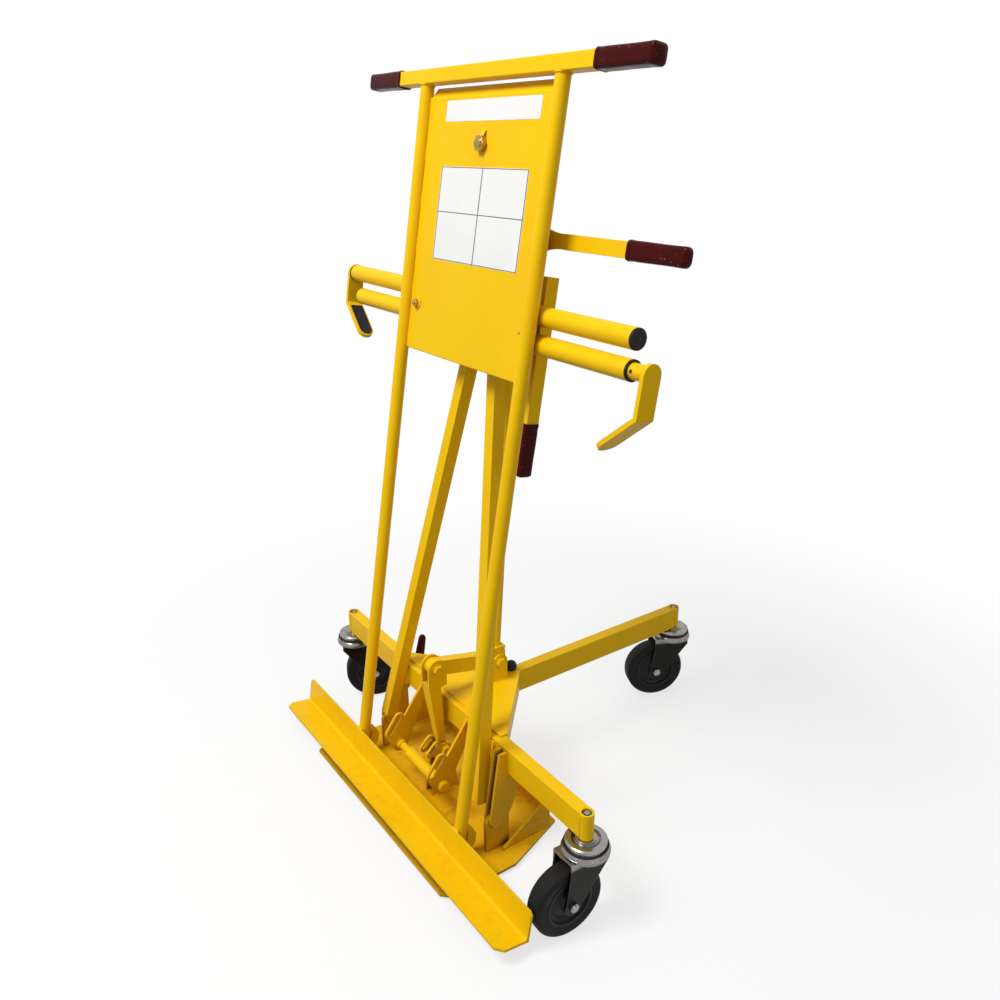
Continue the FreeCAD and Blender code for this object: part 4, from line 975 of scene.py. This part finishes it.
@dataclass
class MastFrame:
    """Leaning mast: door shelf, two tubes, panel with bare sheets, and handlebar."""

    grip_length: float = 122.0 * MM
    sheet: float = 0.35 * MM
    sheet_sink: float = 0.05 * MM
    name_sheet: tuple[float, float, float, float] = (-125.0 * MM, 151.0 * MM, 413.0 * MM, 448.0 * MM)
    guide_sheet: tuple[float, float, float, float] = (-122.0 * MM, 141.0 * MM, 175.0 * MM, 338.0 * MM)
    stop_bolt: Pair = (-159.0 * MM, 88.0 * MM)
    rivet: Pair = (169.0 * MM, 83.0 * MM)
    rivet_radius: float = 3.0 * MM
    rivet_rise: float = 1.6 * MM
    rivet_sink: float = 0.3 * MM
    clip_width: float = 11.0 * MM
    clip_half: float = 0.8 * MM
    clip_length: float = 14.0 * MM
    clip_start: float = 9.0 * MM
    clip_off: float = 2.0 * MM
    clip_stand: float = 4.5 * MM
    clip_gap: float = 1.2 * MM
    clip_rows: int = 28
    tube_seam: float = 1.8 * MM
    foot_seam: float = 1.6 * MM
    foot_sink: float = 0.8 * MM
    foot_inset: Pair = (4.0 * MM, 1.0 * MM)
    ear_inset: float = 2.0 * MM
    stitch: float = 28.0 * MM
    stitch_seam: float = 1.5 * MM
    stitch_sink: float = 0.6 * MM
    stitch_inset: float = 30.0 * MM
    stitches: int = 6

    def dress(self, finishes: Finishes) -> None:
        """Finish the mast's solids."""
        finishes.coat(Coat.YELLOW, "door_shelf", "mast_tubes", "mast_ears", "back_panel", "handlebar")
        finishes.coat(Coat.BOLT, "mast_pivots")

    def build(self, finishes: Finishes, welds: Welds) -> None:
        """Make the grips, sheets, fasteners and welds of the mast."""
        self.grips(finishes)
        self.sheets(finishes)
        self.fasteners(finishes)
        self.spring_clip(finishes)
        self.seams(welds)

    def grips(self, finishes: Finishes) -> None:
        """Make both sleeves of the handlebar."""
        grip = Grip("handle_sleeves", "mast", "handle_grips")
        tip = MAST.span(grip.node)[1][0]
        start = tip - self.grip_length
        grip.fit(finishes, [grip.straight("x", sign * start, sign * tip) for sign in (1.0, -1.0)])

    def sheets(self, finishes: Finishes) -> None:
        """Lay the two bare sheets on the panel's face."""
        _, face, foot = MAST.span("back_panel")[0]
        for name, coat, place in (("name_sheet", Coat.BARE_SHEET, self.name_sheet),
                                  ("guide_sheet", Coat.RULED_SHEET, self.guide_sheet)):
            x0, x1, s0, s1 = place[0], place[1], foot + place[2], foot + place[3]
            depth = (face + self.sheet_sink, face - self.sheet)
            centre = MAST.at((x0 + x1) / 2, depth, (s0 + s1) / 2)
            wide = np.full(2, (x1 - x0) / 2)
            tall = np.full(2, (s1 - s0) / 2)
            patch = loft(centre, MAST.across, MAST.up, wide, tall, power=40.0, count=240)
            piece = finishes.make(name, [patch], coat, "mast")
            unwrap(piece, MAST, (x0, s0), (x1, s1))

    def fasteners(self, finishes: Finishes) -> None:
        """Make the panel's stop bolt and rivet."""
        _, face, foot = MAST.span("back_panel")[0]
        bolt = (self.stop_bolt[0], face, foot + self.stop_bolt[1])
        washer = np.array([[11.0, 0.2], [11.0, -1.6], [10.2, -2.2], [0.1, -2.2]]) * MM
        finishes.make("stop_washer", [lathe(MAST, bolt, "n", washer)], Coat.YELLOW, "mast")
        head = np.array([[6.5, -2.0], [6.5, -6.4], [5.7, -7.4], [0.1, -7.4]]) * MM
        shank = np.array([[4.0, -7.0], [4.0, -10.6], [3.4, -11.2], [0.1, -11.2]]) * MM
        nut = [lathe(MAST, bolt, "n", head, sides=72, flats=6), lathe(MAST, bolt, "n", shank)]
        finishes.make("stop_bolt", nut, Coat.BOLT, "mast")
        turn = np.linspace(0.0, 0.249, 9) * TURN
        dome = np.stack([self.rivet_radius * np.cos(turn), -self.rivet_rise * np.sin(turn)], axis=1)
        profile = np.concatenate([[[self.rivet_radius, self.rivet_sink]], dome])
        spot = (self.rivet[0], face, foot + self.rivet[1])
        finishes.make("panel_rivet", [lathe(MAST, spot, "n", profile, 32)], Coat.BOLT, "mast")

    def spring_clip(self, finishes: Finishes) -> None:
        """Make the bent strip over the apex bolt.

        The strip's middle starts clear of the panel beside the bolt head and falls to it higher up as a power
        of a quarter cosine; a flat superellipse is carried along it.

        Args:
            finishes: Where its finish comes from.
        """
        face = MAST.span("back_panel")[0][1]
        hinge = (np.asarray(joint("mast_roll")["pos_m"]) - MAST.origin) @ MAST.up
        part = np.linspace(0.0, 1.0, self.clip_rows)
        rise = hinge + self.clip_start + self.clip_length * part
        stand = face - self.clip_gap - self.clip_stand * np.cos(part * TURN / 4) ** 1.5
        wide = self.clip_width / 2 * np.clip(np.minimum(part, 1.0 - part) * 12.0, 0.25, 1.0) ** 0.5
        tall = np.full(self.clip_rows, self.clip_half)
        centre = MAST.at(self.clip_off, stand, rise)
        strip = loft(centre, MAST.across, MAST.depth, wide, tall, power=8.0, count=32)
        finishes.make("apex_clip", [strip], Coat.YELLOW, "mast", smooth_deg=50.0)

    def seams(self, welds: Welds) -> None:
        """Lay the mast's welds: tube tops and feet, foot tabs and panel stitches."""
        low, high = MAST.span("mast_tubes")
        middle, half = MAST.box("mast_tubes")
        shelf_top = MAST.span("door_shelf")[1][2]
        ear_low, ear_high = MAST.span("mast_ears")
        panel_low, panel_high = MAST.span("back_panel")
        front = (low[1] + self.foot_sink, (low[2] + self.foot_inset[0], shelf_top - self.foot_inset[1]))
        rear = (high[1] - self.foot_sink, (ear_low[2] + self.ear_inset, ear_high[2] - self.ear_inset))
        ends = (panel_low[2] + self.stitch_inset, panel_high[2] - self.stitch_inset)
        radius = half[1]
        for sign in (1.0, -1.0):
            x = sign * (high[0] - radius)
            welds.lay("mast", hoop(MAST, (x, middle[1], high[2]), "s", radius), self.tube_seam)
            for off in (-0.5, 0.5):
                for depth, rise in (front, rear):
                    welds.lay("mast", MAST.at(x + off * radius, depth, rise), self.foot_seam)
            across = x + np.array([-0.8, 0.8]) * radius
            welds.lay("mast", MAST.at(across, low[1], shelf_top), self.tube_seam)
            for spot in np.linspace(*ends, self.stitches):
                line = (spot - self.stitch / 2, spot + self.stitch / 2)
                path = MAST.at(sign * panel_high[0], panel_low[1] + self.stitch_sink, line)
                welds.lay("mast", path, self.stitch_seam)


@dataclass
class DoorArms:
    """Two outer pipes with sliding, turning door hooks."""

    seam: float = 1.7 * MM
    hook_seam: float = 1.3 * MM
    boss: float = 4.2 * MM
    screw: float = 3.1 * MM
    screw_back: float = 25.0 * MM
    inner: float = 12.7 * MM
    hook_plate: float = 8.0 * MM
    web: float = 8.0 * MM
    web_seam: Pair = (4.0 * MM, 84.0 * MM)
    pipe_seam: Pair = (0.30, 0.70)
    pipes: tuple[str, str] = ("arm_tube_upper", "arm_tube_lower")

    def dress(self, finishes: Finishes) -> None:
        """Finish the arms' solids."""
        finishes.coat(Coat.YELLOW, *self.pipes, "arm_brackets", "left_hook", "right_hook")
        finishes.coat(Coat.RUBBER, "arm_plugs", "left_pad", "right_pad")
        finishes.coat(Coat.NYLON, "arm_collars", "left_glide", "right_glide")

    def build(self, finishes: Finishes, welds: Welds) -> None:
        """Make the arms' plug bosses, set screws and welds."""
        plug_low, plug_high = MAST.span("arm_plugs")
        radius = np.array([self.boss, self.boss, self.boss - 0.6 * MM, 1.6 * MM, 1.4 * MM, 0.05 * MM])
        rise = np.array([-0.3, 0.7, 1.1, 1.1, 0.5, 0.5]) * MM
        bosses = []
        for pipe, sign, end in zip(self.pipes, (1.0, -1.0), (plug_high[0], plug_low[0])):
            _, n, s = MAST.box(pipe)[0]
            bosses.append(lathe(MAST, (end, n, s), "x", np.stack([radius, sign * rise], axis=1), 40))
        finishes.make("plug_bosses", bosses, Coat.NYLON, "mast")
        for side, sign, pipe in zip(("left", "right"), (-1.0, 1.0), self.pipes):
            self.hook_trim(side, sign, pipe, finishes, welds)
        self.bracket_seams(welds)

    def hook_trim(self, side: str, sign: float, pipe: str, finishes: Finishes, welds: Welds) -> None:
        """Make one hook's set screws and the weld round its inner tube.

        Args:
            side: Which hook.
            sign: Direction of its end.
            pipe: The outer pipe it slides in.
            finishes: Where the finishes come from.
            welds: Where the weld goes.
        """
        _, n, s = MAST.box(pipe)[0]
        low, high = MAST.span(f"{side}_hook")
        face = (high[0] if sign > 0 else low[0]) - sign * self.hook_plate
        welds.lay(f"{side}_hook", hoop(MAST, (face, n, s), "x", self.inner), self.hook_seam)
        spot = (face - sign * self.screw_back, n, s)
        radius = np.array([self.screw, self.screw, self.screw - 0.3 * MM, 1.5 * MM, 1.45 * MM])
        reach = self.inner - np.array([1.9, 0.7, 0.5, 0.5, 1.3]) * MM
        screws = [lathe(MAST, spot, "n", np.stack([radius, way * reach], axis=1), 36) for way in (-1.0, 1.0)]
        finishes.make(f"set_screws_{side}", screws, Coat.NYLON, f"{side}_hook")

    def bracket_seams(self, welds: Welds) -> None:
        """Lay the welds between the panel, its webs and the outer pipes."""
        low, high = MAST.span("arm_brackets")
        rise = low[2] + np.array(self.web_seam)
        for x in (high[0], high[0] - self.web, -high[0], self.web - high[0]):
            for pipe in self.pipes:
                middle, half = MAST.box(pipe)
                arc = hoop(MAST, (x, middle[1], middle[2]), "x", half[1], *self.pipe_seam)
                welds.lay("mast", arc, self.seam)
            welds.lay("mast", MAST.at(x, low[1], rise), self.seam)


@dataclass
class Levers:
    """Tilt lever beside the panel and clamp lever behind the arms, with their grips."""

    def dress(self, finishes: Finishes) -> None:
        """Finish the levers' solids."""
        finishes.coat(Coat.YELLOW, "tilt_lever", "clamp_lever")

    def build(self, finishes: Finishes, welds: Welds) -> None:
        """Make both levers' grips; they have no weld that shows."""
        tilt = Grip("tilt_sleeve", "tilt_lever", "tilt_grip", dome=11.0 * MM, power=3.6)
        low, high = MAST.span(tilt.node)
        tilt.fit(finishes, [tilt.straight("x", low[0], high[0])])
        clamp = Grip("clamp_sleeve", "clamp_lever", "clamp_grip", dome=7.0 * MM)
        low, high = MAST.span(clamp.node)
        clamp.fit(finishes, [clamp.straight("s", high[2], low[2])])


@dataclass
class FloorLift:
    """Floor plate between guides, worked by a foot pedal and a linkage."""

    seam: float = 2.2 * MM
    bar_seam: float = 1.8 * MM
    bar_inset: Pair = (4.0 * MM, 6.0 * MM)
    plate: float = 6.0 * MM
    guide_left: Pair = (-213.0 * MM, -190.0 * MM)
    guide_gap: float = 23.0 * MM
    guide_run: Pair = (2.0 * MM, 22.0 * MM)
    gusset_inset: Pair = (32.0 * MM, 2.0 * MM)
    lug_lead: float = 13.0 * MM
    lug_run: float = 60.0 * MM
    grip_foot: float = 3.0 * MM
    grip_tip: float = 9.0 * MM

    def dress(self, finishes: Finishes) -> None:
        """Finish the floor plate's and the linkage's solids."""
        finishes.coat(Coat.SOILED_SHADED, "floor_plate", "floor_uprights", "floor_lugs", "guide_plates",
                      "rod_brackets")
        finishes.coat(Coat.YELLOW, "link_bar", "pull_arm", "pedal", "cross_rod", "floor_pivot_bolt",
                      "clevis_bolt")

    def build(self, finishes: Finishes, welds: Welds) -> None:
        """Make the pedal's grip and the welds of plate, guides and brackets."""
        self.pedal_sleeve(finishes)
        low, high = FLOOR.span("floor_uprights")
        run = (low[1] + self.gusset_inset[0], high[1] - self.gusset_inset[1])
        for sign in (1.0, -1.0):
            for x in (high[0], high[0] - self.plate):
                welds.lay("floor_plate", FLOOR.at(sign * x, run, low[2]), self.seam)
        lug_low, lug_high = FLOOR.span("floor_lugs")
        start = lug_low[1] + self.lug_lead
        for x in (-lug_high[0], lug_high[0]):
            welds.lay("floor_plate", FLOOR.at(x, (start, start + self.lug_run), low[2]), self.seam)
        bar_low, bar_high = FLOOR.span("crossbar")
        rise = (bar_low[2] + self.bar_inset[0], bar_high[2] - self.bar_inset[1])
        guide = FLOOR.span("guide_plates")[1][0]
        bracket = FLOOR.span("rod_brackets")[1][0]
        inner = bracket - self.plate
        for x in (guide, guide - self.guide_gap, bracket, inner, -bracket, -inner):
            welds.lay("chassis", FLOOR.at(x, bar_low[1], rise), self.bar_seam)
        run = bar_low[1] + np.array(self.guide_run)
        for x in self.guide_left:
            welds.lay("chassis", FLOOR.at(x, run, bar_low[2]), self.bar_seam)

    def pedal_sleeve(self, finishes: Finishes) -> None:
        """Make the flat sleeve on the pedal's upper end, along the longest direction of its solid."""
        points = mesh_points(frame["nodes"]["pedal_grip"])
        low, high = points.min(axis=0), points.max(axis=0)
        centre = points.mean(axis=0)
        along = np.linalg.svd((points - centre) * [0.0, 1.0, 1.0], full_matrices=False)[2][0]
        along = along * np.sign(along[2])
        across = np.cross(along, FLOOR.across)
        far = (points - centre) @ along
        off = np.abs((points - centre) @ across)
        wide = off[far < far.min() + self.grip_foot].max()
        slim = off[far > far.max() - self.grip_tip].max()
        foot = np.array([(low[0] + high[0]) / 2, centre[1], centre[2]])
        half = (high[0] - low[0]) / 2
        pedal = Grip("pedal_sleeve", "pedal", "pedal_grip", dome=10.0 * MM, power=3.4)
        patch = pedal.sleeve(foot + far.min() * along, foot + far.max() * along, FLOOR.across, across,
                             (half, wide), (half, slim))
        pedal.fit(finishes, [patch])


@dataclass
class Studio:
    """Pale floor that fades into a white surround, soft lamps and the camera."""

    eye: Point = (1.35999, -1.08808, 1.3)
    yaw: float = 0.954238822
    pitch: float = 0.377512749
    roll: float = -0.00172001809
    focal: float = 0.902069
    sensor: float = 36.0
    reach: float = 9.0
    rings: int = 24
    pale: float = 0.93
    fade: Pair = (0.75, 1.7)
    glow: float = 0.7
    bounce: float = 0.25
    surround: float = 0.45
    aim: Point = (0.0, 0.0, 0.6)
    key: tuple[Point, float, float] = ((-0.3, -2.5, 4.1), 1.5, 138.0)
    fill: tuple[Point, float, float] = ((3.6, -0.4, 1.6), 2.4, 7.0)

    def build(self) -> None:
        """Set the floor, the surround, the lamps and the camera."""
        bpy.context.scene.view_settings.view_transform = "Standard"
        self.floor()
        self.world()
        self.lamp("key_lamp", *self.key)
        self.lamp("fill_lamp", *self.fill)
        self.camera()

    def floor(self) -> None:
        """Lay the floor: rings of points on circles whose radius grows as a square."""
        radius = self.reach * np.linspace(0.02, 1.0, self.rings) ** 2
        angle = angles(96)
        x, y = radius[:, None] * np.cos(angle), radius[:, None] * np.sin(angle)
        disc = tube_patch(np.stack([x, y, np.zeros_like(x)], axis=-1))
        floor = build("floor", [Patch(disc.points, disc.quads, disc.caps[:1])])
        g = Graph.named("pale_floor")
        seen = self.seen(g)
        away = g.value("VectorMath", {0: g.place()}, "Value", operation="LENGTH")
        fade = away.step(*self.fade) * (1.0 - self.glow) + self.glow
        matt = g.add("BsdfDiffuse", {"Color": (self.pale,) * 3})
        dim = g.add("BsdfDiffuse", {"Color": (self.bounce,) * 3})
        glow = g.add("Emission", {"Color": WHITE, "Strength": 1.0})
        pale = g.add("MixShader", {0: fade, 1: matt.outputs[0], 2: glow.outputs[0]})
        both = g.add("MixShader", {0: seen, 1: dim.outputs[0], 2: pale.outputs[0]})
        g.add("OutputMaterial", {"Surface": both.outputs[0]})
        floor.data.materials.append(g.owner)

    def seen(self, g: Graph) -> Value:
        """Tell what is looked at from what only gives light.

        Args:
            g: Graph that asks.

        Returns:
            1 for camera, glossy and transmission rays, and 0 for the others.
        """
        ray = g.add("LightPath")
        kinds = ("Camera", "Glossy", "Transmission")
        camera, glossy, through = (Value(g, ray.outputs[f"Is {kind} Ray"]) for kind in kinds)
        return camera.most(glossy).most(through)

    def world(self) -> None:
        """Make the surround white to the eye, and a softer light on the pieces."""
        world = bpy.data.worlds.new("surround")
        bpy.context.scene.world = world
        g = Graph(world)
        level = self.seen(g) * (1.0 - self.surround) + self.surround
        sky = g.add("Background", {"Color": WHITE, "Strength": level})
        g.add("OutputWorld", {"Surface": sky.outputs[0]})

    def lamp(self, name: str, place: Point, size: float, power: float) -> None:
        """Hang one soft square lamp that points at the middle of the dolly.

        Args:
            name: Name of the lamp.
            place: Where it hangs.
            size: Length of its side.
            power: Watts.
        """
        data = bpy.data.lights.new(name, "AREA")
        data.size, data.energy = size, power
        lamp = bpy.data.objects.new(name, data)
        lamp.location = place
        lamp.rotation_euler = (Vector(self.aim) - Vector(place)).to_track_quat("-Z", "Y").to_euler()
        bpy.context.scene.collection.objects.link(lamp)

    def camera(self) -> None:
        """Stand the camera at the measured eye point, turned by yaw, pitch and roll."""
        data = bpy.data.cameras.new("camera")
        data.sensor_width, data.lens = self.sensor, self.focal * self.sensor
        camera = bpy.data.objects.new("camera", data)
        level = Matrix.Rotation(self.yaw, 4, "Z")
        dip = Matrix.Rotation(TURN / 4 - self.pitch, 4, "X")
        tilt = Matrix.Rotation(self.roll, 4, "Z")
        camera.matrix_world = Matrix.Translation(self.eye) @ level @ dip @ tilt
        bpy.context.scene.collection.objects.link(camera)
        bpy.context.scene.camera = camera


def main() -> None:
    """Build and dress the sub-assemblies in order, and light them."""
    logging.basicConfig(level=logging.INFO, format="%(message)s")
    finishes, welds = Finishes(), Welds()
    for part in (Wheelbase(), Tripod(), MastFrame(), DoorArms(), Levers(), FloorLift()):
        LOG.info("%s", type(part).__name__)
        part.dress(finishes)
        part.build(finishes, welds)
    welds.build(finishes)
    Studio().build()


if __name__ == "__main__":
    main()
